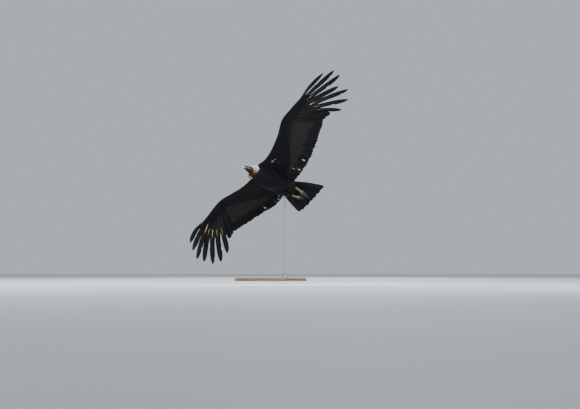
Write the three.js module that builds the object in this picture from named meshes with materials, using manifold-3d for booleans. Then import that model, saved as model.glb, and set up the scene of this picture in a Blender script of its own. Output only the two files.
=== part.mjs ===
// Andean condor, an adult male, soaring with spread wings on a plain display stand.
// Life size, in millimetres, +Z up, origin at the middle of the underside of the stand's base.
// The bird is modelled level in its own frame, with x to the beak, y to its left and z to its
// back, and is then turned as a whole into the banked glide that the stand holds.

import * as THREE from "three";
import { mergeVertices } from "three/addons/utils/BufferGeometryUtils.js";
import Module from "manifold-3d";

const wasm = await Module();
wasm.setup();

// Attitude of the bird on the stand, in degrees, and the place of its own origin
const HEADING = -141.6;
const NOSE_UP = 17.3;
const BANK = 47.6;
const BIRD_PLACE = [-60, -52, 1200];

// Gap between neighbouring pieces, and the size of the slivers dropped after a join
const GAP = 0.3;
const SLIVER = 0.01;

// Display stand: wooden plinth, steel rod and the collar at its foot
const BASE = { length: 800, width: 700, height: 30, corner: 40, bevel: 4 };
const ROD = { fromBirdX: 216, fromBirdY: 200, radius: 10, topBelowBird: 128 };
const COLLAR = { radius: 32, height: 22 };

// Trunk, as rows of: x, half width, height above the axis, depth below it, height of the axis
const TRUNK = [
  [158, 70, 60, 64, 2],
  [130, 93, 72, 88, 2],
  [80, 112, 80, 114, 0],
  [10, 122, 84, 130, 0],
  [-80, 121, 82, 130, 0],
  [-170, 114, 74, 116, 0],
  [-250, 106, 60, 92, 0],
  [-320, 100, 44, 66, -1],
  [-372, 97, 30, 42, -3],
  [-430, 88, 14, 17, -5],
];
const TRUNK_SIDES = 16;
const TAIL_CUT = -372;
const NECK_CUT = 158;
const WING_CUT = 126;

// Each wing in a frame with y outwards, measured on the outstretched bird.
// lead and trail are rows of: y, x, z along the two edges of the wing.
// fan, rise, reach and sweep turn, lift, size and bow forwards the ten primaries, from the
// innermost outwards. fingers are the web widths beyond the notch, on the outer and inner side.
const LEFT_WING = {
  side: 1,
  lead: [
    [50, 155, 50],
    [90, 158, 46],
    [135, 150, 33],
    [200, 146, 25],
    [266, 148, 26],
    [367, 164, 34],
    [515, 200, 50],
    [678, 261, 70],
    [829, 250, 85],
    [1027, 213, 105],
    [1060, 200, 108],
  ],
  trail: [
    [50, -338, 0],
    [135, -350, 3],
    [252, -357, 8],
    [397, -344, 14],
    [501, -324, 20],
    [725, -261, 50],
    [933, -184, 78],
    [1060, -120, 90],
  ],
  wrist: [261, 678, 70],
  hand: [213, 1027, 105],
  fan: [60.3, 58.4, 57, 55.4, 47.5, 40.1, 35.8, 27.4, 21.4, 16.1],
  rise: [1.2, 1.4, 1.4, 1.4, 2.7, 5.7, 10.1, 12.7, 16.2, 20.9],
  reach: [475, 496, 530, 654, 723, 734, 628, 686, 645, 520],
  sweep: [0, 8, 22, 41, 24, 15, 14, 4, 4, 11],
  fingers: [16, 32],
};
const RIGHT_WING = {
  side: -1,
  lead: [
    [50, 118, 12],
    [116, 136, 20],
    [210, 138, 40],
    [306, 148, 68],
    [434, 176, 110],
    [604, 205, 168],
    [789, 215, 168],
    [975, 207, 168],
    [1060, 194, 176],
  ],
  trail: [
    [50, -338, 0],
    [110, -358, 4],
    [290, -364, 14],
    [409, -318, 30],
    [540, -281, 50],
    [728, -224, 80],
    [886, -183, 108],
    [1060, -120, 120],
  ],
  wrist: [209, 604, 168],
  hand: [214, 975, 168],
  fan: [53.6, 52, 50, 44.1, 37.4, 31.1, 24.1, 18.5, 13.8, 7.6],
  rise: [-7.2, -7, -6.7, -7.2, -7.7, -5.8, -1.8, 1.7, 8.6, 12.3],
  reach: [445, 477, 513, 692, 778, 796, 772, 750, 664, 560],
  sweep: [0, 0, 0, -5, 6, 12, 11, 8, 17, 22],
  fingers: [23, 42],
};

// Flesh and small coverts of the arm and hand, as rows of: share of the way from the body to
// the finger bases, depth behind the leading edge, thickness
const ARM = [
  [-0.08, 262, 88],
  [0, 254, 78],
  [0.09, 232, 63],
  [0.18, 202, 50],
  [0.28, 184, 44],
  [0.38, 163, 39],
  [0.48, 142, 35],
  [0.56, 126, 31],
  [0.62, 114, 28],
  [0.7, 100, 24],
  [0.78, 88, 20],
  [0.86, 74, 17],
  [0.93, 56, 13],
  [1, 30, 8],
];
const ARM_END = 1046;
const ARM_REAR = 8.5;
const ARM_PROFILE = [
  [0, 0],
  [0.03, 0.5],
  [0.12, 0.86],
  [0.3, 1],
  [0.6, 0.7],
  [1, 0.16],
];
const CAMBER = 26;

// Flight feathers: web widths on the outer and inner side of the shaft, and slope of the webs
const PRIMARY = { outer: 18, inner: 46, tip: 0.2, tilt: 8, ridge: 1.6 };
const PRIMARY_WAIST = [1, 1, 1, 0.9, 0.9, 0.9, 0.8, 0.8, 0.62, 0.62];
const PRIMARY_NOTCH = [1, 1, 1, 0.56, 0.47, 0.42, 0.32, 0.29, 0.28, 0.27];
const PRIMARY_BOW = [0.02, 0.02, 0.03, 0.04, 0.05, 0.06, 0.06, 0.07, 0.09, 0.15];
const PRIMARY_SPACING = 20;
const FINGER_SAG = 0.045;
const SECONDARY = { count: 22, onForearm: 18, outer: 15, inner: 43, tilt: 5.5, half: 0.6 };
const COVERT = { outer: 20, inner: 36, tilt: 4, half: 0.5 };
const GREATER_COVERT = { from: 0.1, above: 6, below: -5.5 };
const PRIMARY_COVERT = { lift: 6, reach: 165, over: [0, 2, 4, 6] };
const LONG_STATIONS = [0, 0.5, 0.92, 1];
const SHORT_STATIONS = [0, 0.8, 1];

// Scapulars that close the wing against the flank, x and y of root and tip, and lift
const SCAPULAR_WEBS = { outer: 26, inner: 36 };
const SCAPULARS = [
  { root: [-30, 100], tip: [-352, 120], lift: 0 },
  { root: [-20, 82], tip: [-300, 92], lift: 4 },
  { root: [-10, 104], tip: [-252, 112], lift: 7 },
];

// Tail: twelve feathers spread from the rump. Pairs of sizes are for its left and right half,
// because the half on the left is spread wider.
const TAIL = {
  pairs: 6,
  rootX: -335,
  rootStep: [18, 14],
  tipX: -731,
  cornerX: [-732, -672],
  cornerY: [214, 205],
  yaw: 1.4,
  outer: 20,
  inner: 46,
  tilt: 5,
  half: 0.6,
  height: 4,
  ragged: [4, -7, 5, -4, 7, 3],
};
const TAIL_COVERTS = [
  { lift: 7, reach: 0.42 },
  { lift: -9, reach: 0.46 },
];

// Collar of down round the base of the neck, open at the throat. Angles run from the nape to
// the bird's left. On the right it flares out over the swollen side of the neck, and on the
// left its end is drawn forwards under the cheek.
const RUFF = { x: 187, radius: 59, core: 15, from: -130, to: 158, steps: 17, locks: 16, reach: 15 };
const RUFF_FLARE = { from: 40, to: 90, out: 12, ahead: 8 };
const RUFF_END = { from: 100, to: 140, ahead: 12 };
const RUFF_LOCK = { widths: [9, 12, 3], stations: [0, 0.5, 1], tilt: 12, half: 1.3 };

// Neck, as rows of: x, half width, half height, height of the axis, y of the axis.
// The neck is drawn in, and its folds bulge to the bird's right.
const NECK = [
  [150, 64, 58, 0, -4],
  [166, 66, 56, 0, -9],
  [180, 61, 51, -2, -14],
  [194, 62, 48, -4, -24],
  [207, 52, 42, -3, -20],
  [220, 38, 35, -1, -10],
  [240, 30, 29, 2, -4],
];
const NECK_FOLDS = { count: 4, depth: 2.4 };
const NECK_SIDES = 14;
const NECK_STEPS = 15;

// Head in its own frame, x along the beak and z to the crown, and its place on the bird
const HEAD_PLACE = { x: 256, y: -4, z: 2, roll: -24, pitch: 3, yaw: 1 };
const HEAD = [
  [-44, 32, 27, 32, 0],
  [-26, 37, 34, 36, 0],
  [-6, 37, 35, 35, 1],
  [12, 32.5, 31, 30, 1],
  [28, 27.5, 24, 26, 0],
  [42, 20, 18, 22, -1],
  [56, 15, 15, 17, -2],
  [64, 13.5, 14, 15, -2],
];
const HEAD_SIDES = 16;
const HEAD_CUT = -38;
const BEAK_CUT = 60;
const EYE = { x: 10, y: 27.5, z: 9, radius: 9 };
const LIDS = { radius: 8, thickness: 2.2, outside: 4, turn: -12 };
const EAR = { x: -16, y: 35.6, z: -2, radius: 5, thickness: 1.8, hollow: [4, 6, 4], outside: 2.6 };
const NOSTRIL = { x: 50, z: 4, radius: 1.9, stretch: 2.4 };
const MOUTH = { z: -9, back: 8, height: 1.2 };
const UPPER_BEAK = [
  [56, 14.6, 15, 0],
  [68, 12.6, 15, -1],
  [80, 10.4, 14, -3],
  [90, 8, 12, -7],
  [97, 5.4, 8.5, -13],
  [100, 2.6, 4.5, -19],
  [99.6, 0.8, 1.2, -25],
];
const HOOK = { from: 90, lean: 3 };
const UPPER_BEAK_SIDES = 12;
const LOWER_BEAK_SIDES = 10;
const LOWER_BEAK = [
  [56, 12.4, -14.5, 4.4],
  [68, 10.6, -14.6, 4.2],
  [80, 8.2, -14.4, 3.6],
  [89, 4.6, -14, 2.6],
  [93, 1.2, -13.6, 1],
];
const COMB = { x: 36, z: 31, halfLength: 33, halfWidth: 7.5, halfHeight: 21, bulbs: 5 };

// Legs trailing under the tail: ankle, foot and toe tip of each, and the feathered thigh
const LEFT_LEG = {
  side: "left",
  thigh: [-120, 62, -80],
  ankle: [-350, 80, -66],
  foot: [-454, 66, -74],
  toeEnd: [-610, 26, -66],
};
const RIGHT_LEG = {
  side: "right",
  thigh: [-130, -56, -82],
  ankle: [-388, -38, -68],
  foot: [-470, -24, -74],
  toeEnd: [-566, -12, -64],
};
const LEG = { thighRadius: 42, ankleRadius: 13, tarsusRadius: 9.5, toeRadius: 7.8 };
const FOOT_HUB = [20, 15, 11];
const CLAW = { length: 32, radius: 5.6, drop: 13, sunk: 2.5 };

// Colours
const COLOURS = {
  plumage: 0x17171b,
  ruff: 0xe9e6df,
  skin: 0x3a2723,
  neckSkin: 0x4a3024,
  comb: 0xcaa58b,
  beak: 0xd9cdb8,
  eye: 0x241511,
  scale: 0x8f8a74,
  claw: 0x1d1b19,
  wood: 0x6d4d33,
  steel: 0x9a9da1,
};

const degrees = THREE.MathUtils.degToRad;
const lerp = THREE.MathUtils.lerp;
const clamp = THREE.MathUtils.clamp;

// Even, repeatable scatter in the range -1 to 1
let seed = 20261;
function scatter() {
  seed = (seed * 48271) % 2147483647;
  return (seed / 2147483647) * 2 - 1;
}

// Smooth value between rows that start with their position
function along(rows, at) {
  const last = rows.length - 1;
  const rising = rows[last][0] > rows[0][0] ? 1 : -1;
  let k = 0;
  while (k < last - 1 && rising * at > rising * rows[k + 1][0]) k += 1;
  const span = rows[k + 1][0] - rows[k][0];
  const share = clamp((at - rows[k][0]) / span, -0.2, 1.2);
  const before = rows[Math.max(k - 1, 0)];
  const after = rows[Math.min(k + 2, last)];
  return rows[k].slice(1).map((value, i) => {
    const next = rows[k + 1][i + 1];
    const slopeIn = ((next - before[i + 1]) / (rows[k + 1][0] - before[0])) * span;
    const slopeOut = ((after[i + 1] - value) / (after[0] - rows[k][0])) * span;
    const square = share * share;
    const cube = square * share;
    return (
      value * (2 * cube - 3 * square + 1) +
      slopeIn * (cube - 2 * square + share) +
      next * (3 * square - 2 * cube) +
      slopeOut * (cube - square)
    );
  });
}

// Closed mesh through a row of rings with the same number of points.
// turned says for each side which way its four-sided faces are split.
function loft(rings, turned = () => false) {
  const sides = rings[0].length;
  const positions = rings.flat().flatMap((p) => [p.x, p.y, p.z]);
  const index = [];
  for (let i = 0; i < rings.length - 1; i += 1) {
    for (let j = 0; j < sides; j += 1) {
      const a = i * sides + j;
      const b = i * sides + ((j + 1) % sides);
      const c = a + sides;
      const d = b + sides;
      if (turned(j)) index.push(a, b, c, b, d, c);
      else index.push(a, b, d, a, d, c);
    }
  }
  const ends = [
    [rings[0], 0, true],
    [rings.at(-1), (rings.length - 1) * sides, false],
  ];
  for (const [ring, start, first] of ends) {
    const middle = new THREE.Vector3();
    ring.forEach((p) => middle.addScaledVector(p, 1 / sides));
    const centre = positions.length / 3;
    positions.push(middle.x, middle.y, middle.z);
    for (let j = 0; j < sides; j += 1) {
      const a = start + j;
      const b = start + ((j + 1) % sides);
      if (first) index.push(centre, b, a);
      else index.push(centre, a, b);
    }
  }
  const geometry = new THREE.BufferGeometry();
  geometry.setAttribute("position", new THREE.Float32BufferAttribute(positions, 3));
  geometry.setIndex(index);
  return geometry;
}

// Six times the volume that a geometry encloses, negative where it is inside out
function enclosed(geometry) {
  const at = geometry.getAttribute("position");
  const index = geometry.getIndex();
  const corner = [0, 1, 2].map(() => new THREE.Vector3());
  let sum = 0;
  for (let i = 0; i < index.count; i += 3) {
    corner.forEach((p, k) => p.fromBufferAttribute(at, index.getX(i + k)));
    sum += corner[0].dot(corner[1].clone().cross(corner[2]));
  }
  return sum;
}

// A geometry as a solid for joining and cutting
function solid(source) {
  const plain = source.clone();
  plain.deleteAttribute("normal");
  plain.deleteAttribute("uv");
  const merged = mergeVertices(plain, 1e-4);
  const flip = enclosed(merged) < 0;
  const triangles = Uint32Array.from(merged.getIndex().array);
  if (flip) {
    for (let i = 0; i < triangles.length; i += 3) {
      [triangles[i + 1], triangles[i + 2]] = [triangles[i + 2], triangles[i + 1]];
    }
  }
  const vertProperties = Float32Array.from(merged.getAttribute("position").array);
  const mesh = new wasm.Mesh({ numProp: 3, vertProperties, triVerts: triangles });
  return new wasm.Manifold(mesh);
}

function join(solids) {
  return solids.reduce((whole, piece) => whole.add(piece));
}

// The largest closed surface of a solid
function largest(body) {
  const pieces = body.decompose();
  return pieces.reduce((best, piece) => (piece.volume() > best.volume() ? piece : best));
}

// A solid as a geometry, without the slivers that joining and cutting leave
function geometryOf(body) {
  const mesh = body.simplify(SLIVER).getMesh();
  const geometry = new THREE.BufferGeometry();
  geometry.setAttribute("position", new THREE.BufferAttribute(mesh.vertProperties, 3));
  geometry.setIndex(new THREE.BufferAttribute(mesh.triVerts, 1));
  return geometry;
}

function named(name, geometry, colour, roughness = 0.8, metalness = 0) {
  const shown = geometry.clone();
  shown.computeVertexNormals();
  const finish = new THREE.MeshStandardMaterial({ color: colour, roughness, metalness });
  const mesh = new THREE.Mesh(shown, finish);
  mesh.name = name;
  return mesh;
}

// A box that fills x from low to high, and all else within reach
function slab(axis, low, high) {
  const reach = 4000;
  const size = [reach, reach, reach];
  size[axis] = high - low;
  const box = new THREE.BoxGeometry(...size);
  const shift = [0, 0, 0];
  shift[axis] = (low + high) / 2;
  box.translate(...shift);
  return solid(box);
}

function ellipsoid(at, radii, across = 12, down = 8) {
  const ball = new THREE.SphereGeometry(1, across, down);
  ball.scale(...radii);
  ball.translate(...at);
  return ball;
}

// Closed tapering tube along a smooth curve through points
function limb(points, radii, sides = 8, steps = 6, flat = 1) {
  const curve = new THREE.CatmullRomCurve3(points.map((p) => new THREE.Vector3(...p)));
  const frames = curve.computeFrenetFrames(steps, false);
  const rings = [];
  for (let i = 0; i <= steps; i += 1) {
    const share = i / steps;
    const centre = curve.getPointAt(share);
    const place = share * (radii.length - 1);
    const k = Math.min(Math.floor(place), radii.length - 2);
    const radius = lerp(radii[k], radii[k + 1], place - k);
    const ring = [];
    for (let j = 0; j < sides; j += 1) {
      const angle = (j / sides) * Math.PI * 2;
      ring.push(
        centre
          .clone()
          .addScaledVector(frames.normals[i], Math.cos(angle) * radius)
          .addScaledVector(frames.binormals[i], Math.sin(angle) * radius * flat),
      );
    }
    rings.push(ring);
  }
  return loft(rings);
}

// One feather vane. path gives the shaft, up the side of the back, webs the two web widths.
// A ridged vane has a raised shaft above and below; a plain one is a thin plate.
function vane({ path, up, webs, stations, tilt, ridge = 0, half = 0.4 }) {
  const rings = stations.map((share, i) => {
    const centre = path(share);
    const ahead = path(Math.min(share + 0.01, 1));
    const behind = path(Math.max(share - 0.01, 0));
    const run = ahead.sub(behind).normalize();
    const across = run.clone().cross(up(share)).normalize();
    across.applyAxisAngle(run, degrees(-tilt));
    const back = across.clone().cross(run).normalize();
    const [outer, inner] = webs(share);
    const fade = lerp(1, 0.45, share);
    const put = (sideways, rise) =>
      centre.clone().addScaledVector(across, sideways).addScaledVector(back, rise);
    const edge = half * (i === stations.length - 1 ? 0.7 : 1);
    if (!ridge) return [put(outer, edge), put(-inner, edge), put(-inner, -edge), put(outer, -edge)];
    return [
      put(outer, edge),
      put(0, ridge * fade),
      put(-inner, edge),
      put(-inner, -edge),
      put(0, -ridge * fade),
      put(outer, -edge),
    ];
  });
  const lower = ridge ? [3, 4] : [2];
  return loft(rings, (side) => lower.includes(side));
}

// Trunk of the bird, made fatter by grow where it cuts its neighbours clear
function trunk(grow = 0) {
  const rings = TRUNK.map(([x, halfWidth, top, bottom, axis]) => {
    const ring = [];
    for (let j = 0; j < TRUNK_SIDES; j += 1) {
      const angle = (j / TRUNK_SIDES) * Math.PI * 2;
      const height = Math.sin(angle) > 0 ? top : bottom;
      ring.push(
        new THREE.Vector3(
          x,
          Math.cos(angle) * (halfWidth + grow),
          axis + Math.sin(angle) * (height + grow),
        ),
      );
    }
    return ring;
  });
  return solid(loft(rings));
}

// Surface that a wing lies in: its two edges, and its height at any place between them
function wingSheet(wing) {
  const lead = (y) => along(wing.lead, y);
  const trail = (y) => along(wing.trail, y);
  function height(x, y) {
    const [leadX, leadZ] = lead(y);
    const [trailX, trailZ] = trail(y);
    const share = clamp((leadX - x) / (leadX - trailX), 0, 1);
    const fade = clamp((1060 - y) / 500, 0, 1);
    return lerp(leadZ, trailZ, share) + CAMBER * fade * Math.sin(Math.PI * share ** 0.8);
  }
  function up(x, y) {
    const slopeX = (height(x + 10, y) - height(x - 10, y)) / 20;
    const slopeY = (height(x, y + 10) - height(x, y - 10)) / 20;
    return new THREE.Vector3(-slopeX, -slopeY, 1).normalize();
  }
  return { lead, trail, height, up };
}

// Flesh of the arm and hand under its small feathers
function arm(sheet) {
  const rings = ARM.map(([share, depth, thick]) => {
    const y = lerp(WING_CUT, ARM_END, share);
    const [leadX] = sheet.lead(y);
    const rows = ARM_PROFILE.map(([back, fullness]) => {
      const x = leadX - depth * back;
      const rear = back > 0.5 ? Math.min(ARM_REAR, thick / 2) : 0;
      return { x, middle: sheet.height(x, y), half: Math.max((thick / 2) * fullness, rear) };
    });
    const upper = rows.map((row) => new THREE.Vector3(row.x, y, row.middle + row.half));
    const lower = rows.slice(1).map((row) => new THREE.Vector3(row.x, y, row.middle - row.half));
    return [...upper, ...lower.reverse()];
  });
  return loft(rings);
}

// Line on which the secondaries and tertials are rooted, from the body past the elbow
// to the wrist: x at a given y
function remexLine(wing, y) {
  const elbowY = wing.wrist[1] * 0.55;
  const rows = [
    [135, 42],
    [elbowY, 62],
    [wing.wrist[1] - 22, wing.wrist[0] - 34],
  ];
  const k = y < elbowY ? 0 : 1;
  const share = (y - rows[k][0]) / (rows[k + 1][0] - rows[k][0]);
  return lerp(rows[k][1], rows[k + 1][1], share);
}

// Root and tip of each secondary, from the wrist inwards
function secondaryLines(wing, sheet) {
  const wristY = wing.wrist[1] - 26;
  const elbowY = wing.wrist[1] * 0.55;
  const outerTip = wing.trail.at(-2)[0] - 24;
  const lines = [];
  for (let k = 0; k < SECONDARY.count; k += 1) {
    const onForearm = k < SECONDARY.onForearm;
    const last = SECONDARY.onForearm - 1;
    const rootY = onForearm
      ? lerp(wristY, elbowY, k / last)
      : lerp(elbowY, 168, (k - last) / (SECONDARY.count - 1 - last));
    const tipY = lerp(outerTip, 150, k / (SECONDARY.count - 1));
    const tipX = sheet.trail(tipY)[0] + scatter() * 4;
    lines.push({ root: [remexLine(wing, rootY), rootY], tip: [tipX, tipY] });
  }
  return lines;
}

// Vane that lies on the wing's surface from root to tip, raised by lift
function sheetVane(sheet, { root, tip }, { webs, stations, tilt, ridge, half, lift = 0 }) {
  const path = (share) => {
    const bulge = Math.sin(Math.PI * share) * 5;
    const x = lerp(root[0], tip[0], share);
    const y = lerp(root[1], tip[1], share) + bulge;
    const base = new THREE.Vector3(x, y, sheet.height(x, y));
    return base.addScaledVector(sheet.up(x, y), lift);
  };
  const up = (share) => sheet.up(lerp(root[0], tip[0], share), lerp(root[1], tip[1], share));
  return vane({ path, up, webs, stations, tilt, ridge, half });
}

// Widths of a round-ended vane
function roundWebs(outer, inner) {
  const rows = [
    [0, 0.55],
    [0.3, 1],
    [0.93, 0.96],
    [1, 0.5],
  ];
  return (share) => {
    const k = rows.findIndex((row, i) => i > 0 && share <= row[0]);
    const part = (share - rows[k - 1][0]) / (rows[k][0] - rows[k - 1][0]);
    const width = lerp(rows[k - 1][1], rows[k][1], part);
    return [outer * width, inner * width];
  };
}

function secondaries(wing, sheet) {
  return secondaryLines(wing, sheet).map((line) =>
    sheetVane(sheet, line, {
      webs: roundWebs(SECONDARY.outer, SECONDARY.inner),
      stations: LONG_STATIONS,
      tilt: SECONDARY.tilt,
      half: SECONDARY.half,
    }),
  );
}

// Greater coverts over the bases of the secondaries, above or below the wing
function greaterCoverts(wing, sheet, above) {
  const everyOther = secondaryLines(wing, sheet).filter((_, k) => k % 2 === 0);
  return everyOther.map(({ root, tip }, k) => {
    const at = (share) => [lerp(root[0], tip[0], share), lerp(root[1], tip[1], share)];
    const nearBody = clamp((k - 7) / 3, 0, 1);
    const to = above ? lerp(0.46, 0.6, nearBody) : lerp(0.29, 0.56, nearBody);
    return sheetVane(
      sheet,
      { root: at(GREATER_COVERT.from), tip: at(to + scatter() * 0.01) },
      {
        webs: roundWebs(COVERT.outer, COVERT.inner),
        stations: SHORT_STATIONS,
        tilt: COVERT.tilt,
        half: COVERT.half,
        lift: above ? GREATER_COVERT.above : GREATER_COVERT.below,
      },
    );
  });
}

// Shaft of one primary, counted from 0 innermost to 9 at the leading edge. It leaves the hand
// in the surface of the wing and then bends up into its own free finger.
function primaryPath(wing, sheet, k) {
  const wrist = new THREE.Vector3(...wing.wrist);
  const handLine = new THREE.Vector3(...wing.hand).sub(wrist).normalize();
  const root = wrist.clone().add(new THREE.Vector3(-22, 0, -4));
  root.addScaledVector(handLine, PRIMARY_SPACING * (k + 1));
  const fan = degrees(wing.fan[k]);
  const rise = degrees(wing.rise[k]);
  const reach = wing.reach[k];
  const flat = new THREE.Vector3(-Math.sin(fan), Math.cos(fan), 0);
  const ahead = new THREE.Vector3(Math.cos(fan), Math.sin(fan), 0);
  const freeFrom = PRIMARY_NOTCH[k] < 1 ? PRIMARY_NOTCH[k] + 0.15 : 4;
  return (share) => {
    const arch = 4 * share * (1 - share);
    const swept = wing.sweep[k] * THREE.MathUtils.smoothstep(share, 0.2, 0.6);
    const at = root
      .clone()
      .addScaledVector(flat, reach * Math.cos(rise) * share)
      .addScaledVector(ahead, (reach * PRIMARY_BOW[k] * 0.5 + swept) * arch);
    const free = root.z + reach * (Math.sin(rise) * share - FINGER_SAG * arch);
    const bound = sheet.height(at.x, at.y);
    at.z = lerp(bound, free, THREE.MathUtils.smoothstep(share, 0.05, freeFrom));
    return at;
  };
}

// Widths of a primary: broad at the base, narrow beyond its notch, blunt at the tip
function fingerWebs(wing, k) {
  const [fingerOuter, fingerInner] = wing.fingers;
  const notch = PRIMARY_NOTCH[k];
  const edge = k === 9 ? 0.6 : 1;
  return (share) => {
    const narrow = clamp((share - notch + 0.03) / 0.08, 0, 1);
    const start = lerp(0.3, 1, clamp(share / 0.2, 0, 1));
    const end = share < 0.88 ? 1 : lerp(1, PRIMARY.tip, (share - 0.88) / 0.12);
    const outer = lerp(PRIMARY.outer, fingerOuter, narrow) * edge;
    const fullness = THREE.MathUtils.smoothstep(share, notch + 0.05, 0.75);
    const inner = lerp(PRIMARY.inner, fingerInner * lerp(PRIMARY_WAIST[k], 1, fullness), narrow);
    return [outer * start * end, inner * start * end];
  };
}

function primaries(wing, sheet) {
  const paths = wing.fan.map((_, k) => primaryPath(wing, sheet, k));
  return paths.map((path, k) => {
    const outerPath = paths[Math.min(k + 1, 9)];
    const innerPath = paths[Math.max(k - 1, 0)];
    const up = (share) => {
      const spread = outerPath(share).sub(innerPath(share));
      const run = path(Math.min(share + 0.02, 1)).sub(path(Math.max(share - 0.02, 0)));
      return spread.cross(run).normalize();
    };
    const fingered = PRIMARY_NOTCH[k] < 1;
    const notch = PRIMARY_NOTCH[k];
    const bends = k > 5 ? [0.7] : [];
    return vane({
      path,
      up,
      webs: fingered ? fingerWebs(wing, k) : roundWebs(PRIMARY.outer, PRIMARY.inner),
      stations: fingered ? [0, notch - 0.03, notch + 0.05, ...bends, 0.88, 1] : LONG_STATIONS,
      tilt: PRIMARY.tilt,
      ridge: PRIMARY.ridge,
    });
  });
}

// Coverts over the bases of the primaries
function primaryCoverts(wing, sheet) {
  const { lift, reach, over } = PRIMARY_COVERT;
  return over.map((k) => {
    const path = primaryPath(wing, sheet, k);
    const end = reach / wing.reach[k];
    const raised = (share) => path(share * end).add(new THREE.Vector3(0, 0, lift));
    return vane({
      path: raised,
      up: () => new THREE.Vector3(0.05, 0, 1).normalize(),
      webs: roundWebs(COVERT.outer, COVERT.inner),
      stations: SHORT_STATIONS,
      tilt: COVERT.tilt,
      half: COVERT.half,
    });
  });
}

// Whole wing in the frame with y outwards
function wingWhole(wing) {
  const sheet = wingSheet(wing);
  const vanes = [
    ...primaries(wing, sheet),
    ...secondaries(wing, sheet),
    ...greaterCoverts(wing, sheet, true),
    ...greaterCoverts(wing, sheet, false),
    ...primaryCoverts(wing, sheet),
  ];
  return join([solid(arm(sheet)), ...vanes.map(solid)]);
}

// Turns a geometry made with y outwards to the bird's own left or right
function toSide(geometry, side) {
  const turned = geometry.clone();
  if (side < 0) turned.scale(1, -1, 1);
  return solid(turned);
}

function wingNode(wing) {
  const outside = slab(1, WING_CUT + GAP, 2000);
  const body = largest(wingWhole(wing).intersect(outside));
  return geometryOf(toSide(geometryOf(body), wing.side));
}

// Shoulder between the trunk and one wing: the wing's own root carried into the trunk,
// with the scapular feathers that close the wing against the flank
function shoulder(wing) {
  const sheet = wingSheet(wing);
  const pieces = [arm(sheet)];
  SCAPULARS.forEach(({ root, tip, lift }) => {
    pieces.push(
      sheetVane(
        sheet,
        { root, tip },
        {
          webs: roundWebs(SCAPULAR_WEBS.outer, SCAPULAR_WEBS.inner),
          stations: LONG_STATIONS,
          tilt: SECONDARY.tilt,
          half: SECONDARY.half,
          lift,
        },
      ),
    );
  });
  return join(pieces.map(solid));
}

function torsoNode(rod) {
  const shoulders = [LEFT_WING, RIGHT_WING].map((wing) =>
    toSide(geometryOf(shoulder(wing)), wing.side),
  );
  const body = join([trunk(), ...shoulders])
    .intersect(slab(1, -WING_CUT, WING_CUT))
    .intersect(slab(0, TAIL_CUT, NECK_CUT))
    .subtract(rod);
  return geometryOf(largest(body));
}

// One half of the tail, with y outwards
function tailHalf(side) {
  const half = side > 0 ? 0 : 1;
  const cornerX = TAIL.cornerX[half];
  const cornerY = TAIL.cornerY[half];
  const lean = degrees(TAIL.yaw) * side;
  const feathers = [];
  for (let k = 0; k < TAIL.pairs; k += 1) {
    const rootY = (k + 0.5) * TAIL.rootStep[half];
    const spread = (k + 0.4) / (TAIL.pairs - 0.6);
    const tipY = cornerY * spread;
    const tipX = lerp(TAIL.tipX, cornerX, spread ** 2) + side * TAIL.ragged[k];
    const drop = TAIL.height - 4 * k - (side > 0 ? 0 : 2.2);
    const root = new THREE.Vector3(TAIL.rootX, rootY, drop);
    const reachX = (tipX - TAIL.rootX) * Math.cos(lean) + (tipY - rootY) * Math.sin(lean);
    const reachY = (tipY - rootY) * Math.cos(lean) - (tipX - TAIL.rootX) * Math.sin(lean);
    const path = (share) =>
      root
        .clone()
        .add(new THREE.Vector3(reachX * share, reachY * share, -10 * share * share))
        .add(new THREE.Vector3(0, 6 * Math.sin(Math.PI * share), 0));
    feathers.push(
      vane({
        path,
        up: () => new THREE.Vector3(0, 0, 1),
        webs: roundWebs(TAIL.outer, TAIL.inner),
        stations: LONG_STATIONS,
        tilt: TAIL.tilt,
        half: TAIL.half,
      }),
    );
    if (k % 2 === 0) feathers.push(...tailCoverts(path));
  }
  return feathers;
}

// Upper and lower coverts over the base of one tail feather
function tailCoverts(shaft) {
  return TAIL_COVERTS.map(({ lift, reach }) =>
    vane({
      path: (share) => shaft(0.06 + share * reach).add(new THREE.Vector3(0, 0, lift)),
      up: () => new THREE.Vector3(0, 0, 1),
      webs: roundWebs(COVERT.outer, COVERT.inner),
      stations: SHORT_STATIONS,
      tilt: COVERT.tilt,
      half: COVERT.half,
    }),
  );
}

function tailNode() {
  const halves = [1, -1].flatMap((side) =>
    tailHalf(side).map((feather) => toSide(feather, side)),
  );
  const body = join([trunk(), ...halves]).intersect(slab(0, -2000, TAIL_CUT - GAP));
  return geometryOf(largest(body));
}

// Neck with its folds of bare skin
function neck(grow = 0) {
  const rings = [];
  const first = NECK[0][0];
  const last = NECK.at(-1)[0];
  for (let i = 0; i <= NECK_STEPS; i += 1) {
    const share = i / NECK_STEPS;
    const x = lerp(first, last, share);
    const [halfWidth, halfHeight, axis, side] = along(NECK, x);
    const wave = Math.sin(share * NECK_FOLDS.count * 2 * Math.PI) * NECK_FOLDS.depth;
    const inFront = x > RUFF.x ? 1 : 0;
    const ring = [];
    for (let j = 0; j < NECK_SIDES; j += 1) {
      const angle = (j / NECK_SIDES) * Math.PI * 2;
      const swell = grow + wave * inFront;
      ring.push(
        new THREE.Vector3(
          x,
          side + Math.cos(angle) * (halfWidth + swell),
          axis + Math.sin(angle) * (halfHeight + swell),
        ),
      );
    }
    rings.push(ring);
  }
  return solid(loft(rings));
}

// Placing of the head's own frame in the bird's frame
function headMatrix() {
  const turn = new THREE.Euler(
    degrees(HEAD_PLACE.roll),
    degrees(HEAD_PLACE.pitch),
    degrees(HEAD_PLACE.yaw),
    "ZYX",
  );
  const matrix = new THREE.Matrix4().makeRotationFromEuler(turn);
  return matrix.setPosition(HEAD_PLACE.x, HEAD_PLACE.y, HEAD_PLACE.z);
}

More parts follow.
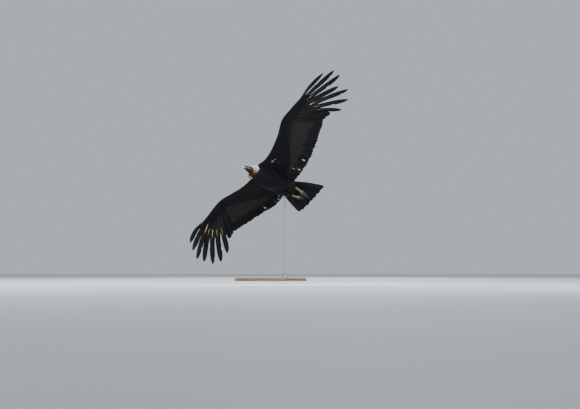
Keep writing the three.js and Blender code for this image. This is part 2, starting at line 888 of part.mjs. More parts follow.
function neckNode() {
  const ahead = new THREE.BoxGeometry(400, 400, 400).translate(200 + HEAD_CUT - GAP, 0, 0);
  ahead.applyMatrix4(headMatrix());
  const body = neck().subtract(solid(ahead)).intersect(slab(0, NECK_CUT + GAP, 1000));
  return geometryOf(largest(body));
}

// Collar: a core that hugs the neck, and two rows of tapered downy locks that lean back
function ruffNode() {
  const first = degrees(RUFF.from);
  const last = degrees(RUFF.to);
  const part = (angle, { from, to }) =>
    THREE.MathUtils.smoothstep(angle, degrees(from), degrees(to));
  const around = (angle, radius, x) => {
    const flare = part(-angle, RUFF_FLARE);
    const wide = radius + RUFF_FLARE.out * flare;
    return new THREE.Vector3(
      x + RUFF_FLARE.ahead * flare + RUFF_END.ahead * part(angle, RUFF_END),
      HEAD_PLACE.y + Math.sin(angle) * wide,
      Math.cos(angle) * wide * 0.94,
    );
  };
  const coreRings = [];
  for (let i = 0; i <= RUFF.steps; i += 1) {
    const angle = lerp(first, last, i / RUFF.steps);
    const ring = [];
    for (let j = 0; j < 6; j += 1) {
      const turn = (j / 6) * Math.PI * 2;
      const radius = RUFF.radius + Math.cos(turn) * RUFF.core;
      ring.push(around(angle, radius, RUFF.x + Math.sin(turn) * RUFF.core * 1.3));
    }
    coreRings.push(ring);
  }
  const pieces = [loft(coreRings)];
  for (const row of [0, 1]) {
    for (let k = 0; k < RUFF.locks; k += 1) {
      const middle = lerp(first, last, (k + 0.5 * row + 0.25) / RUFF.locks);
      const reach = RUFF.reach * (1 - 0.3 * row) * (1 + 0.12 * scatter());
      const lean = (row ? 2 : -12) + scatter() * 3;
      const path = (share) =>
        around(
          middle + 0.05 * share * (row ? 1 : -1),
          RUFF.radius + 2 + reach * share,
          RUFF.x + (row ? 7 : -5) + lean * share * share,
        );
      const up = () => new THREE.Vector3(1, 0, 0);
      const { widths, stations, tilt, half } = RUFF_LOCK;
      const webs = (share) => {
        const width = widths[Math.round(share * 2)];
        return [width, width];
      };
      pieces.push(vane({ path, up, webs, stations, tilt, half }));
    }
  }
  const body = join(pieces.map(solid))
    .subtract(neck(GAP))
    .subtract(trunk(GAP).intersect(slab(0, -2000, NECK_CUT + GAP)));
  return geometryOf(largest(body));
}

// Eyeball in the head's frame, made larger by grow where it cuts its socket
function eyeball(side, grow = 0) {
  const radius = EYE.radius + grow;
  return ellipsoid([EYE.x, side * EYE.y, EYE.z], [radius, radius, radius], 10, 7);
}

// Head in its own frame
function headForm(grow = 0) {
  const rings = HEAD.map(([x, halfWidth, top, bottom, axis]) => {
    const ring = [];
    for (let j = 0; j < HEAD_SIDES; j += 1) {
      const angle = (j / HEAD_SIDES) * Math.PI * 2;
      const height = Math.sin(angle) > 0 ? top : bottom;
      ring.push(
        new THREE.Vector3(
          x,
          Math.cos(angle) * (halfWidth + grow),
          axis + Math.sin(angle) * (height + grow),
        ),
      );
    }
    return ring;
  });
  return solid(loft(rings));
}

// Ring of the lids round one eye
function lids(side) {
  const ring = new THREE.TorusGeometry(LIDS.radius, LIDS.thickness, 5, 9);
  ring.rotateX(Math.PI / 2);
  ring.rotateZ(side * degrees(LIDS.turn));
  return solid(ring.translate(EYE.x, side * (EYE.y + LIDS.outside), EYE.z));
}

// Rim of one ear, and the hollow in it
function earRim(side) {
  const ring = new THREE.TorusGeometry(EAR.radius, EAR.thickness, 4, 8);
  ring.rotateX(Math.PI / 2);
  return solid(ring.translate(EAR.x, side * EAR.y, EAR.z));
}

function earHollow(side) {
  return solid(ellipsoid([EAR.x, side * (EAR.y + EAR.outside), EAR.z], EAR.hollow, 6, 4));
}

// Slit of the mouth, from its corner forwards
function mouthSlit() {
  const length = 100;
  const slit = new THREE.BoxGeometry(length, 80, MOUTH.height);
  return solid(slit.translate(length / 2 + MOUTH.back, 0, MOUTH.z));
}

// The nostrils meet in one oval hole through the beak's base
function nostrils() {
  const hole = new THREE.CylinderGeometry(NOSTRIL.radius, NOSTRIL.radius, 80, 8);
  hole.scale(NOSTRIL.stretch, 1, 1);
  return solid(hole.translate(NOSTRIL.x, 0, NOSTRIL.z));
}

function headNode() {
  let body = headForm();
  for (const side of [1, -1]) {
    body = body.add(lids(side)).add(earRim(side));
    body = body.subtract(earHollow(side)).subtract(solid(eyeball(side, GAP * 1.3)));
  }
  body = body
    .subtract(mouthSlit())
    .subtract(nostrils())
    .intersect(slab(0, HEAD_CUT, BEAK_CUT));
  return geometryOf(largest(body));
}

// Upper beak with its hook, made larger by grow where it cuts the lower one
function upperBeakForm(grow = 0) {
  const rings = UPPER_BEAK.map(([x, halfWidth, halfHeight, z]) => {
    const ring = [];
    const lowest = MOUTH.z + MOUTH.height / 2 - grow;
    const hooked = x > HOOK.from;
    for (let j = 0; j < UPPER_BEAK_SIDES; j += 1) {
      const angle = (j / UPPER_BEAK_SIDES) * Math.PI * 2;
      const height = z + Math.sin(angle) * (halfHeight + grow);
      ring.push(
        new THREE.Vector3(
          x + (hooked ? Math.sin(angle) * HOOK.lean : 0),
          Math.cos(angle) * (halfWidth + grow),
          hooked ? height : Math.max(height, lowest),
        ),
      );
    }
    return ring;
  });
  return solid(loft(rings));
}

function upperBeak() {
  return geometryOf(largest(upperBeakForm().intersect(slab(0, BEAK_CUT + GAP, 400))));
}

function lowerBeak() {
  const top = MOUTH.z - MOUTH.height / 2;
  const rings = LOWER_BEAK.map(([x, halfWidth, z, halfHeight]) => {
    const ring = [];
    for (let j = 0; j < LOWER_BEAK_SIDES; j += 1) {
      const angle = (j / LOWER_BEAK_SIDES) * Math.PI * 2;
      const height = Math.min(z + Math.sin(angle) * halfHeight, top);
      ring.push(new THREE.Vector3(x, Math.cos(angle) * halfWidth, height));
    }
    return ring;
  });
  const body = solid(loft(rings)).subtract(upperBeakForm(GAP));
  return geometryOf(largest(body.intersect(slab(0, BEAK_CUT + GAP, 400))));
}

// Fleshy comb: one upright plate with a row of bulbs along its edge
function combNode() {
  const pieces = [
    ellipsoid([COMB.x, 0, COMB.z], [COMB.halfLength, COMB.halfWidth, COMB.halfHeight], 10, 7),
  ];
  for (let k = 0; k < COMB.bulbs; k += 1) {
    const turn = lerp(-0.1, Math.PI * 0.92, k / (COMB.bulbs - 1));
    const size = 8.4 + scatter() * 1.4;
    const x = COMB.x + Math.cos(turn) * (COMB.halfLength - 6);
    const z = COMB.z + Math.sin(turn) * (COMB.halfHeight - 5);
    pieces.push(ellipsoid([x, scatter() * 1.6, z], [size, size * 0.95, size], 8, 5));
  }
  return geometryOf(largest(join(pieces.map(solid)).subtract(headForm(GAP))));
}

// Thigh, cut clear of the trunk above it and of the shank below
function thighNode(leg, shank) {
  const between = (share) => leg.thigh.map((value, i) => lerp(value, leg.ankle[i], share));
  const radii = [0.6, 0.95, 1, 0.8, 0.5].map((part) => part * LEG.thighRadius);
  const lobe = limb([leg.thigh, between(0.35), between(0.7), leg.ankle],
    [...radii, LEG.ankleRadius], 12, 10);
  const body = solid(lobe).subtract(trunk(GAP)).subtract(shank);
  return geometryOf(largest(body));
}

// Shank from inside the thigh feathers to the foot
function shankForm(leg, grow = 0) {
  const inside = leg.thigh.map((value, i) => lerp(leg.ankle[i], value, 0.12));
  const radius = LEG.tarsusRadius + grow;
  return limb([inside, leg.ankle, leg.foot], [radius, radius, radius * 1.25], 10, 6);
}

// Toes as rows of: sideways start, sideways spread at the end, share of the full length, drop
const TOES = [
  { name: "inner", start: 11, end: 18, reach: 0.62, drop: -3 },
  { name: "middle", start: 0, end: 0, reach: 1, drop: 0 },
  { name: "outer", start: -11, end: -17, reach: 0.66, drop: -3 },
  { name: "hind", start: 2, end: 12, reach: 0.36, drop: -20 },
];

function toeLine(leg, toe) {
  const mirror = leg.side === "left" ? 1 : -1;
  const foot = new THREE.Vector3(...leg.foot);
  const run = new THREE.Vector3(...leg.toeEnd).sub(foot);
  const aside = new THREE.Vector3(0, -mirror, 0);
  const start = foot.clone().addScaledVector(aside, toe.start * 0.6);
  const end = foot.clone().addScaledVector(run, toe.reach).addScaledVector(aside, toe.end);
  end.z += toe.drop;
  const bend = start.clone().lerp(end, 0.5);
  bend.z += 5;
  bend.addScaledVector(aside, toe.end * 0.25);
  return { start, bend, end };
}

// Foot with its toes; each toe ends in a flat face that carries a claw
function footForm(leg) {
  const hub = ellipsoid(leg.foot, FOOT_HUB, 10, 6);
  const toes = TOES.map((toe) => {
    const { start, bend, end } = toeLine(leg, toe);
    const radius = LEG.toeRadius * (toe.name === "middle" ? 1 : 0.88);
    return limb([start.toArray(), bend.toArray(), end.toArray()],
      [radius * 1.15, radius, radius * 1.05, radius * 0.82, radius * 0.75], 6, 4);
  });
  return join([hub, ...toes].map(solid));
}

// Claw sunk a little into the end of its toe, made larger by grow where it cuts its socket
function clawForm(leg, toe, grow = 0) {
  const { bend, end } = toeLine(leg, toe);
  const run = end.clone().sub(bend).normalize();
  const start = end.clone().addScaledVector(run, -CLAW.sunk - grow);
  const size = toe.name === "hind" ? 0.75 : 1;
  const middle = start.clone().addScaledVector(run, CLAW.length * 0.5 * size);
  middle.z -= CLAW.drop * 0.2 * size;
  const tip = start.clone().addScaledVector(run, CLAW.length * 0.9 * size);
  tip.z -= CLAW.drop * size;
  const radius = CLAW.radius * (toe.name === "middle" ? 1.05 : 0.95);
  const radii = [radius, radius * 0.8, radius * 0.45, 0.5].map((size) => size + grow);
  return limb([start.toArray(), middle.toArray(), tip.toArray()], radii, 6, 4);
}

// Stand: plinth with rounded corners, collar and rod, in the model's own frame
function plinth() {
  const { length, width, corner, height, bevel } = BASE;
  const x = length / 2;
  const y = width / 2;
  const outline = new THREE.Shape();
  outline.moveTo(-x + corner, -y);
  outline.lineTo(x - corner, -y);
  outline.absarc(x - corner, -y + corner, corner, -Math.PI / 2, 0);
  outline.absarc(x - corner, y - corner, corner, 0, Math.PI / 2);
  outline.absarc(-x + corner, y - corner, corner, Math.PI / 2, Math.PI);
  outline.absarc(-x + corner, -y + corner, corner, Math.PI, Math.PI * 1.5);
  const board = new THREE.ExtrudeGeometry(outline, {
    depth: height - 2 * bevel,
    bevelEnabled: true,
    bevelThickness: bevel,
    bevelSize: bevel,
    bevelOffset: -bevel,
    bevelSegments: 1,
    curveSegments: 4,
  });
  return board.translate(0, 0, bevel);
}

const rodX = BIRD_PLACE[0] + ROD.fromBirdX;
const rodY = BIRD_PLACE[1] + ROD.fromBirdY;
const rodTop = BIRD_PLACE[2] - ROD.topBelowBird;

function rodForm(grow = 0) {
  const low = BASE.height + GAP - grow;
  const high = rodTop + grow;
  const rod = new THREE.CylinderGeometry(ROD.radius + grow, ROD.radius + grow, high - low, 20);
  rod.rotateX(Math.PI / 2);
  return rod.translate(rodX, rodY, (low + high) / 2);
}

function collarNode() {
  const ring = new THREE.CylinderGeometry(COLLAR.radius * 0.86, COLLAR.radius, COLLAR.height, 28);
  ring.rotateX(Math.PI / 2);
  ring.translate(rodX, rodY, BASE.height + GAP + COLLAR.height / 2);
  return geometryOf(solid(ring).subtract(solid(rodForm(GAP))));
}

// The bird, its head and the stand in one group
const bird = new THREE.Group();
bird.position.set(...BIRD_PLACE);
bird.rotation.set(degrees(BANK), degrees(-NOSE_UP), degrees(HEADING), "ZYX");
bird.updateMatrix();

function rodInBird(grow) {
  const rod = rodForm(grow);
  return solid(rod.applyMatrix4(bird.matrix.clone().invert()));
}

function addBody() {
  bird.add(named("torso", torsoNode(rodInBird(GAP)), COLOURS.plumage));
  bird.add(named("tail", tailNode(), COLOURS.plumage));
  bird.add(named("wing_left", wingNode(LEFT_WING), COLOURS.plumage));
  bird.add(named("wing_right", wingNode(RIGHT_WING), COLOURS.plumage));
  bird.add(named("neck", neckNode(), COLOURS.neckSkin));
  bird.add(named("ruff", ruffNode(), COLOURS.ruff));
}

function addHead() {
  const head = new THREE.Group();
  head.applyMatrix4(headMatrix());
  head.add(named("head", headNode(), COLOURS.skin));
  head.add(named("comb", combNode(), COLOURS.comb));
  head.add(named("beak_upper", upperBeak(), COLOURS.beak, 0.45));
  head.add(named("beak_lower", lowerBeak(), COLOURS.beak, 0.45));
  for (const [name, side] of [["eye_left", 1], ["eye_right", -1]]) {
    head.add(named(name, geometryOf(solid(eyeball(side))), COLOURS.eye, 0.15));
  }
  bird.add(head);
}

function addLeg(leg) {
  const shank = solid(shankForm(leg));
  const foot = footForm(leg);
  const room = solid(shankForm(leg, GAP));
  bird.add(named(`thigh_${leg.side}`, thighNode(leg, room), COLOURS.plumage));
  bird.add(named(`shank_${leg.side}`, geometryOf(shank), COLOURS.scale));
  const sockets = TOES.map((toe) => solid(clawForm(leg, toe, GAP)));
  const bare = foot.subtract(join([room, ...sockets]));
  bird.add(named(`foot_${leg.side}`, geometryOf(largest(bare)), COLOURS.scale));
  for (const toe of TOES) {
    const claw = geometryOf(solid(clawForm(leg, toe)));
    bird.add(named(`claw_${leg.side}_${toe.name}`, claw, COLOURS.claw, 0.4));
  }
}

addBody();
addHead();
addLeg(LEFT_LEG);
addLeg(RIGHT_LEG);

const group = new THREE.Group();
group.add(bird);
group.add(named("stand_base", geometryOf(solid(plinth())), COLOURS.wood, 0.5));
group.add(named("stand_collar", collarNode(), COLOURS.steel, 0.35, 1));
group.add(named("stand_rod", geometryOf(solid(rodForm())), COLOURS.steel, 0.35, 1));

export default group;
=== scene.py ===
# %% [markdown]
# An Andean condor, an adult male, soars on a display stand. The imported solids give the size, the
# place and the pose. This script dresses them: one skin, feathers that lie on it in tiers, a ruff
# of curled down, a wrinkled head, scaled feet, and an oiled oak base with a steel rod.

import math

import bpy
import numpy as np
from mathutils import Euler, Matrix, Vector, noise


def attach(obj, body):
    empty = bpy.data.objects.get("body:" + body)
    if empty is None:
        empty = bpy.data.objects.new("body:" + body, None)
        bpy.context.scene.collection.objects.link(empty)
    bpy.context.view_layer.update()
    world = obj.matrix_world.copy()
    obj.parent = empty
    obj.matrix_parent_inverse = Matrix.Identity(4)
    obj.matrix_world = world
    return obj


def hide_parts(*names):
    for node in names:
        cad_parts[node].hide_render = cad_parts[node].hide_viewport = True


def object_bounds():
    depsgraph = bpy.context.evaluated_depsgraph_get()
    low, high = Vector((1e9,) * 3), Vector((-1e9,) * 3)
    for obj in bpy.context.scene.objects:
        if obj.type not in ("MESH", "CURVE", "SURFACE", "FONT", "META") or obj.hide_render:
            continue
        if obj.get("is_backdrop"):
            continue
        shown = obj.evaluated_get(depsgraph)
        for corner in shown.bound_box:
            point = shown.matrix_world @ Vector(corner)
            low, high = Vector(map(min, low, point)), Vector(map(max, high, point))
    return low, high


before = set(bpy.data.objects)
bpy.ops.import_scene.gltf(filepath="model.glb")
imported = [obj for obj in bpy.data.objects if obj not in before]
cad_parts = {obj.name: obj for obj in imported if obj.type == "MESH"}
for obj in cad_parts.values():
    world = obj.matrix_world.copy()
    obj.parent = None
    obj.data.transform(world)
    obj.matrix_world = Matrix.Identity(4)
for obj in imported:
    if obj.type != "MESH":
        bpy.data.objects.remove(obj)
cad_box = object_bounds()
rng = np.random.default_rng(1907)
print("nodes", len(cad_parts), "box", [round(v, 3) for corner in cad_box for v in corner])

# %% [markdown]
# The bird is built level in a frame of its own, in millimetres: x points to the beak, y to the
# bird's left and z to its back. One matrix then turns it into the banked glide and brings it to
# metres. Every piece passes through this matrix once, so that its object stays at the origin.

# %% Pose of the bird
MM = 0.001
HEADING, NOSE_UP, BANK = -141.6, 17.3, 47.6
BIRD_PLACE = Vector((-60, -52, 1200)) * MM
turned = Matrix.Rotation(math.radians(HEADING), 4, "Z")
turned = turned @ Matrix.Rotation(math.radians(-NOSE_UP), 4, "Y")
turned = turned @ Matrix.Rotation(math.radians(BANK), 4, "X")
TO_WORLD = Matrix.Translation(BIRD_PLACE) @ turned @ Matrix.Scale(MM, 4)
print("bird's left points to", [round(v, 2) for v in turned.col[1][:3]])

# %% [markdown]
# The camera stands low in front of the bird and looks a little upwards, as the photograph does,
# with a normal lens. A pale floor, a pale surrounding and four large soft lamps make a plain
# studio. The low lamp is there because a dark underside would otherwise show nothing.

# %% Camera, floor and light
IMAGE_WIDTH, FOCAL_PIXELS, SENSOR = 580, 770.99, 36
CAMERA_PLACE = (0.21815, -8.9902, 0.10055)
CAMERA_PITCH = 5
# Lamps: place, point that they look at, size, watts, colour
LAMPS = dict(
    key=((-3.2, -3.4, 4.4), (0, 0, 1.2), 2.6, 420, (1, 0.97, 0.93)),
    fill=((3.6, -4.2, 1.6), (0, 0, 1.2), 3.2, 110, (0.93, 0.96, 1)),
    low=((0.6, -3.2, 0.12), (0, 0, 1.3), 2.4, 55, (1, 0.98, 0.95)),
    back=((1.5, 4.2, 3.6), (0, 0, 1.2), 2.6, 190, (0.95, 0.97, 1)),
)


def deselect():
    """Leaves nothing selected, because an operator acts on all that is."""
    if bpy.context.mode != "OBJECT":
        bpy.ops.object.mode_set(mode="OBJECT")
    bpy.ops.object.select_all(action="DESELECT")


def lamp(name, place, aim, size, watts, colour):
    """One soft square lamp that looks at aim."""
    data = bpy.data.lights.new(name, "AREA")
    data.shape, data.size, data.energy, data.color = "SQUARE", size, watts, colour
    made = bpy.data.objects.new(name, data)
    bpy.context.collection.objects.link(made)
    made.location = place
    made.rotation_euler = (Vector(aim) - Vector(place)).to_track_quat("-Z", "Y").to_euler()


deselect()
bpy.ops.object.camera_add(location=CAMERA_PLACE, rotation=(math.radians(90 + CAMERA_PITCH), 0, 0))
camera = bpy.context.object
camera.data.sensor_width = SENSOR
camera.data.lens = SENSOR * FOCAL_PIXELS / IMAGE_WIDTH
bpy.context.scene.camera = camera
for name, settings in LAMPS.items():
    lamp(name, *settings)
print("lens", round(camera.data.lens, 2), "mm")

# %% [markdown]
# Each finish is a small tree of nodes. One function adds a node with its settings and links, and
# one turns the familiar sRGB hex colours into the linear values that the shader wants.

# %% Colour and node helpers
def linear(code):
    """sRGB hex such as 1b1a1e as linear RGBA."""
    parts = [int(code[i : i + 2], 16) / 255 for i in (0, 2, 4)]
    return [c / 12.92 if c <= 0.04045 else ((c + 0.055) / 1.055) ** 2.4 for c in parts] + [1]


def material(name):
    """An empty material with its tree and its shader."""
    made = bpy.data.materials.new(name)
    made.use_nodes = True
    return made, made.node_tree, made.node_tree.nodes["Principled BSDF"]


def node(tree, kind, values=None, links=None, **settings):
    """Adds one node, with properties from settings, socket values and links from other nodes."""
    made = tree.nodes.new(kind)
    for key, value in settings.items():
        setattr(made, key, value)
    for key, value in (values or {}).items():
        made.inputs[key].default_value = value
    for key, source in (links or {}).items():
        tree.links.new(source, made.inputs[key])
    return made


def mix(tree, amount, first, second):
    """Colour between two, each a hex code or another node's colour."""
    values, links = {}, {"Factor": amount}
    for key, given in ((6, first), (7, second)):
        if isinstance(given, str):
            values[key] = linear(given)
        else:
            links[key] = given
    return node(tree, "ShaderNodeMix", values, links, data_type="RGBA").outputs[2]


def attribute(tree, name):
    """Value that the mesh holds under this name."""
    return node(tree, "ShaderNodeAttribute", attribute_name=name).outputs["Fac"]


def cloudy(tree, scale, detail, place=None, **more):
    """Soft noise around one half. scale counts lumps per metre where a place is given.

    Without a place it counts lumps across the box round the whole piece.
    """
    values = {"Scale": scale, "Detail": detail, **more}
    links = {} if place is None else {"Vector": place}
    return node(tree, "ShaderNodeTexNoise", values, links).outputs["Fac"]


def paint(tree, shader, colour, plain):
    """Gives the shader its colour, and plain values for other sockets."""
    tree.links.new(colour, shader.inputs["Base Color"])
    for key, value in plain.items():
        shader.inputs[key].default_value = value


def ramp(tree, source, low, high):
    """Number that goes from 0 to 1 as source goes from low to high."""
    values = {"From Min": low, "From Max": high}
    made = node(tree, "ShaderNodeMapRange", values, {"Value": source}, interpolation_type="SMOOTHSTEP")
    return made.outputs["Result"]


def bumped(tree, shader, height, distance, strength=1.0):
    """Gives the shader a bump from a height between 0 and 1, distance metres deep."""
    values = {"Strength": strength, "Distance": distance}
    made = node(tree, "ShaderNodeBump", values, {"Height": height})
    tree.links.new(made.outputs["Normal"], shader.inputs["Normal"])


# %% [markdown]
# Floor: matt pale studio paper. It is marked as stage, so that it is no part of the bird.

# %% Floor
deselect()
bpy.ops.mesh.primitive_plane_add(size=60, location=(0, 0, -0.0005))
floor = bpy.context.object
floor.name = "studio_floor"
paper, tree, shader = material("matt studio paper")
paint(tree, shader, mix(tree, cloudy(tree, 30, 3), "d3d6da", "dcdee1"), {"Roughness": 0.85})
floor.data.materials.append(paper)
floor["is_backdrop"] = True
world = bpy.data.worlds.new("pale surrounding")
bpy.context.scene.world = world
world.use_nodes = True
world.node_tree.nodes["Background"].inputs["Color"].default_value = linear("d2dbe6")
world.node_tree.nodes["Background"].inputs["Strength"].default_value = 0.75
print("floor and surrounding made")

# %% [markdown]
# Feathers are keratin with a soft satin gloss. Their barbs leave the shaft at a slant, so the pattern is
# drawn on each vane's own map, which counts metres across and along the vane. Real barbs stand 0.7 mm apart;
# they are drawn 1.5 mm apart, because finer ones would not show. Three attributes carry the markings: white,
# brown, and a tone that differs from feather to feather. White and brown also carry painted light and shade:
# at the ends of the ruff, at the slits between the inner secondaries and along the edges of the vanes below.

# %% Plumage finish
BARB_SPACING = 1.5 * MM
BARB_SLANT = 0.9
# Clouds of lighter and duller feather across the box round a whole piece
CLOUD_SCALE = 1000 / 9


def barbs(tree):
    """Height between 0 and 1 of the barbs on the vane's own map."""
    place = node(tree, "ShaderNodeUVMap", uv_map="vane").outputs["UV"]
    parts = node(tree, "ShaderNodeSeparateXYZ", links={0: place}).outputs
    across = node(tree, "ShaderNodeMath", links={0: parts[0]}, operation="ABSOLUTE").outputs[0]
    slant = {1: -BARB_SLANT}
    slope = node(tree, "ShaderNodeMath", slant, {0: across, 2: parts[1]}, operation="MULTIPLY_ADD")
    turns = {1: 2 * math.pi / BARB_SPACING}
    phase = node(tree, "ShaderNodeMath", turns, {0: slope.outputs[0]}, operation="MULTIPLY").outputs[0]
    wave = node(tree, "ShaderNodeMath", links={0: phase}, operation="SINE").outputs[0]
    return ramp(tree, wave, -1, 1)


def plumage(name, black, brown, white, roughness, sheen):
    """Finish of feathers with the bird's markings."""
    made, tree, shader = material(name)
    is_white, is_brown, tone = (attribute(tree, key) for key in ("white", "brown", "tone"))
    cloud = cloudy(tree, CLOUD_SCALE, 4)
    height = barbs(tree)
    colour = mix(tree, is_brown, mix(tree, tone, *black), mix(tree, height, *brown))
    # Where a feather is marked both white and brown, it takes the peach of painted light shining through
    pale = mix(tree, is_brown, mix(tree, cloud, *white), PAINTED_GLOW_PEACH)
    plain = {"IOR": 1.54, "Specular IOR Level": 0.08, "Sheen Weight": sheen, "Sheen Roughness": 0.4}
    paint(tree, shader, mix(tree, is_white, colour, pale), plain)
    uneven = {"To Min": roughness - 0.08, "To Max": roughness + 0.12}
    rough = node(tree, "ShaderNodeMapRange", uneven, {"Value": cloud})
    tree.links.new(rough.outputs["Result"], shader.inputs["Roughness"])
    bumped(tree, shader, height, 0.0003, 0.4)
    return made


BLACK = ("0b0b0f", "151519")
BROWN = ("1f1d1a", "2d2a26")
WHITE = ("cfccc4", "e4e1da")
# The down's two tan pairs colour only the ends of the ruff: painted shade on the bird's left, painted light
# shining through on its right
DOWN = (("8a7146", "a88a58"), ("b5894a", "d2aa66"), ("eeede8", "fbfaf8"))
# Peach for white that is also marked brown: painted light shining through the ends of the ruff and through
# the slits between the inner secondaries
PAINTED_GLOW_PEACH = "f6d2a8"
flight_finish = plumage("flight feather keratin", BLACK, BROWN, WHITE, 0.5, 0.01)
coat_finish = plumage("soft contour feather", ("0a0a0d", "131317"), BROWN, WHITE, 0.6, 0.02)
down_finish = plumage("white neck down", *DOWN, 0.85, 0.3)
print("plumage finishes", [m.name for m in (flight_finish, coat_finish, down_finish)])

# %% [markdown]
# The quill of a big feather is a bare horny tube, nearly black, with a waxy ivory stretch. The
# white mark says where that is.

# %% Quill finish
quill_finish, tree, shader = material("horny quill")
streak = cloudy(tree, 160, 2)
ivory = mix(tree, streak, "dcc377", "f0e2ae")
paint(tree, shader, mix(tree, attribute(tree, "white"), "1a1613", ivory), {"Roughness": 0.38})
bumped(tree, shader, streak, 0.0003, 0.4)
print("quill finish made")

# %% [markdown]
# The same few rows of sizes that shape the solids shape the surfaces here: rows of numbers along
# the trunk and along both edges of each wing. A smooth curve is drawn through each row.

# %% Rows of sizes along the body
# Trunk: x, half width, height above the axis, depth below it, height of the axis
TRUNK = [
    (158, 70, 60, 64, 2), (130, 93, 72, 88, 2), (80, 112, 80, 114, 0), (10, 122, 84, 130, 0),
    (-80, 121, 82, 130, 0), (-170, 114, 74, 116, 0), (-250, 106, 60, 92, 0), (-320, 100, 44, 66, -1),
    (-372, 97, 30, 42, -3), (-430, 88, 14, 17, -5),
]
# Wings, with y outwards. Both edges: y, x, z. Primaries, innermost first: fan and rise in degrees,
# reach, and how far the middle sweeps forward. fingers: width of the outer and inner web beyond
# the notch. browned: how brown the inner and the outer five primaries are below. ninth: share of
# those widths that the ninth primary has, outer and inner
LEFT_WING = dict(
    name="left", side=1, wrist=(261, 678, 70), hand=(213, 1027, 105),
    lead=[(50, 155, 50), (90, 158, 46), (135, 150, 33), (200, 146, 25), (266, 148, 26), (367, 164, 34),
          (515, 200, 50), (678, 261, 70), (829, 250, 85), (1027, 213, 105), (1060, 200, 108)],
    trail=[(50, -338, 0), (135, -350, 3), (252, -357, 8), (397, -344, 14), (501, -324, 20), (725, -261, 50),
           (933, -184, 78), (1060, -120, 90)],
    fan=(60.3, 58.4, 57, 55.4, 47.5, 40.1, 35.8, 27.4, 21.4, 16.1),
    rise=(1.2, 1.4, 1.4, 1.4, 2.7, 5.7, 10.1, 12.7, 16.2, 20.9),
    reach=(475, 496, 530, 654, 723, 734, 628, 686, 645, 520),
    sweep=(0, 8, 22, 41, 24, 15, 14, 4, 4, 11), fingers=(16.5, 33), browned=(0.45, 0.1), ninth=(1, 1),
)
RIGHT_WING = dict(
    name="right", side=-1, wrist=(209, 604, 168), hand=(214, 975, 168),
    lead=[(50, 118, 12), (116, 136, 20), (210, 138, 40), (306, 148, 68), (434, 176, 110), (604, 205, 168),
          (789, 215, 168), (975, 207, 168), (1060, 194, 176)],
    trail=[(50, -338, 0), (110, -358, 4), (290, -364, 14), (409, -318, 30), (540, -281, 50), (728, -224, 80),
           (886, -183, 108), (1060, -120, 120)],
    fan=(53.6, 52, 50, 44.1, 37.4, 31.1, 24.1, 18.5, 13.8, 7.6),
    rise=(-7.2, -7, -6.7, -7.2, -7.7, -5.8, -1.8, 1.7, 8.6, 12.3),
    reach=(445, 477, 513, 692, 778, 796, 772, 750, 664, 560),
    sweep=(0, 0, 0, -5, 6, 12, 11, 8, 17, 22), fingers=(23.5, 42.5), browned=(0.75, 0.5), ninth=(0.76, 1.25),
)
# Arm under its coverts: share of its length, depth behind the leading edge, thickness
ARM = [
    (-0.08, 262, 88), (0, 254, 78), (0.09, 232, 63), (0.18, 202, 50), (0.28, 184, 44), (0.38, 163, 39),
    (0.48, 142, 35), (0.56, 126, 31), (0.62, 114, 28), (0.7, 100, 24), (0.78, 88, 20), (0.86, 74, 17),
    (0.93, 56, 13), (1, 30, 8),
]
ARM_FROM, ARM_END, ARM_REAR = 126, 1046, 8.5
# Half the thickness of the wing behind the arm
SHEET_HALF = 2.5
ARM_PROFILE = [(0, 0), (0.03, 0.5), (0.12, 0.86), (0.3, 1), (0.6, 0.7), (1, 0.16)]
# The middle surface bulges upwards by CAMBER and flattens towards the end of the wing
CAMBER, WING_END, FLATTENS_OVER = 26, 1060, 500
# Share of the way to the wrist at which the elbow lies
ELBOW = 0.55


def smooth(rows, at):
    """Values between rows that start with their position, on one smooth curve."""
    table = np.array(sorted(rows), float)
    x, values = table[:, 0], table[:, 1:]
    slope = np.empty_like(values)
    slope[1:-1] = (values[2:] - values[:-2]) / (x[2:] - x[:-2])[:, None]
    slope[0] = (values[1] - values[0]) / (x[1] - x[0])
    slope[-1] = (values[-1] - values[-2]) / (x[-1] - x[-2])
    at = np.asarray(at, float)
    k = np.clip(np.searchsorted(x, at) - 1, 0, len(x) - 2)
    span = (x[k + 1] - x[k])[..., None]
    t = np.clip((at - x[k])[..., None] / span, -0.2, 1.2)
    near = values[k] * (2 * t**3 - 3 * t**2 + 1) + slope[k] * span * (t**3 - 2 * t**2 + t)
    return near + values[k + 1] * (3 * t**2 - 2 * t**3) + slope[k + 1] * span * (t**3 - t**2)


def blend(low, high, share):
    return low + (high - low) * share


def step(low, high, at):
    """0 before low, 1 past high, smooth between."""
    t = np.clip((np.asarray(at, float) - low) / (high - low), 0, 1)
    return t * t * (3 - 2 * t)


def wing_height(wing, x, y):
    """Height of the wing's middle surface, and how far back x is between the two edges."""
    lead_x, lead_z = np.moveaxis(smooth(wing["lead"], y), -1, 0)
    trail_x, trail_z = np.moveaxis(smooth(wing["trail"], y), -1, 0)
    chord = np.clip((lead_x - x) / (lead_x - trail_x), 0, 1)
    fade = np.clip((WING_END - y) / FLATTENS_OVER, 0, 1)
    return blend(lead_z, trail_z, chord) + CAMBER * fade * np.sin(math.pi * chord**0.8), chord


def arm_half(wing, x, y):
    """Half the thickness of the arm at x and y, a thin remainder behind it."""
    lead_x = smooth(wing["lead"], y)[..., 0]
    depth, thick = np.moveaxis(smooth(ARM, (y - ARM_FROM) / (ARM_END - ARM_FROM)), -1, 0)
    back = (lead_x - x) / depth
    fullness = np.interp(back, *zip(*ARM_PROFILE))
    rear = np.where(back > 0.5, np.minimum(ARM_REAR, thick / 2), 0)
    half = np.maximum(thick / 2 * fullness, rear)
    return np.where(back > 1, blend(half, SHEET_HALF, step(1, 1.6, back)), half)


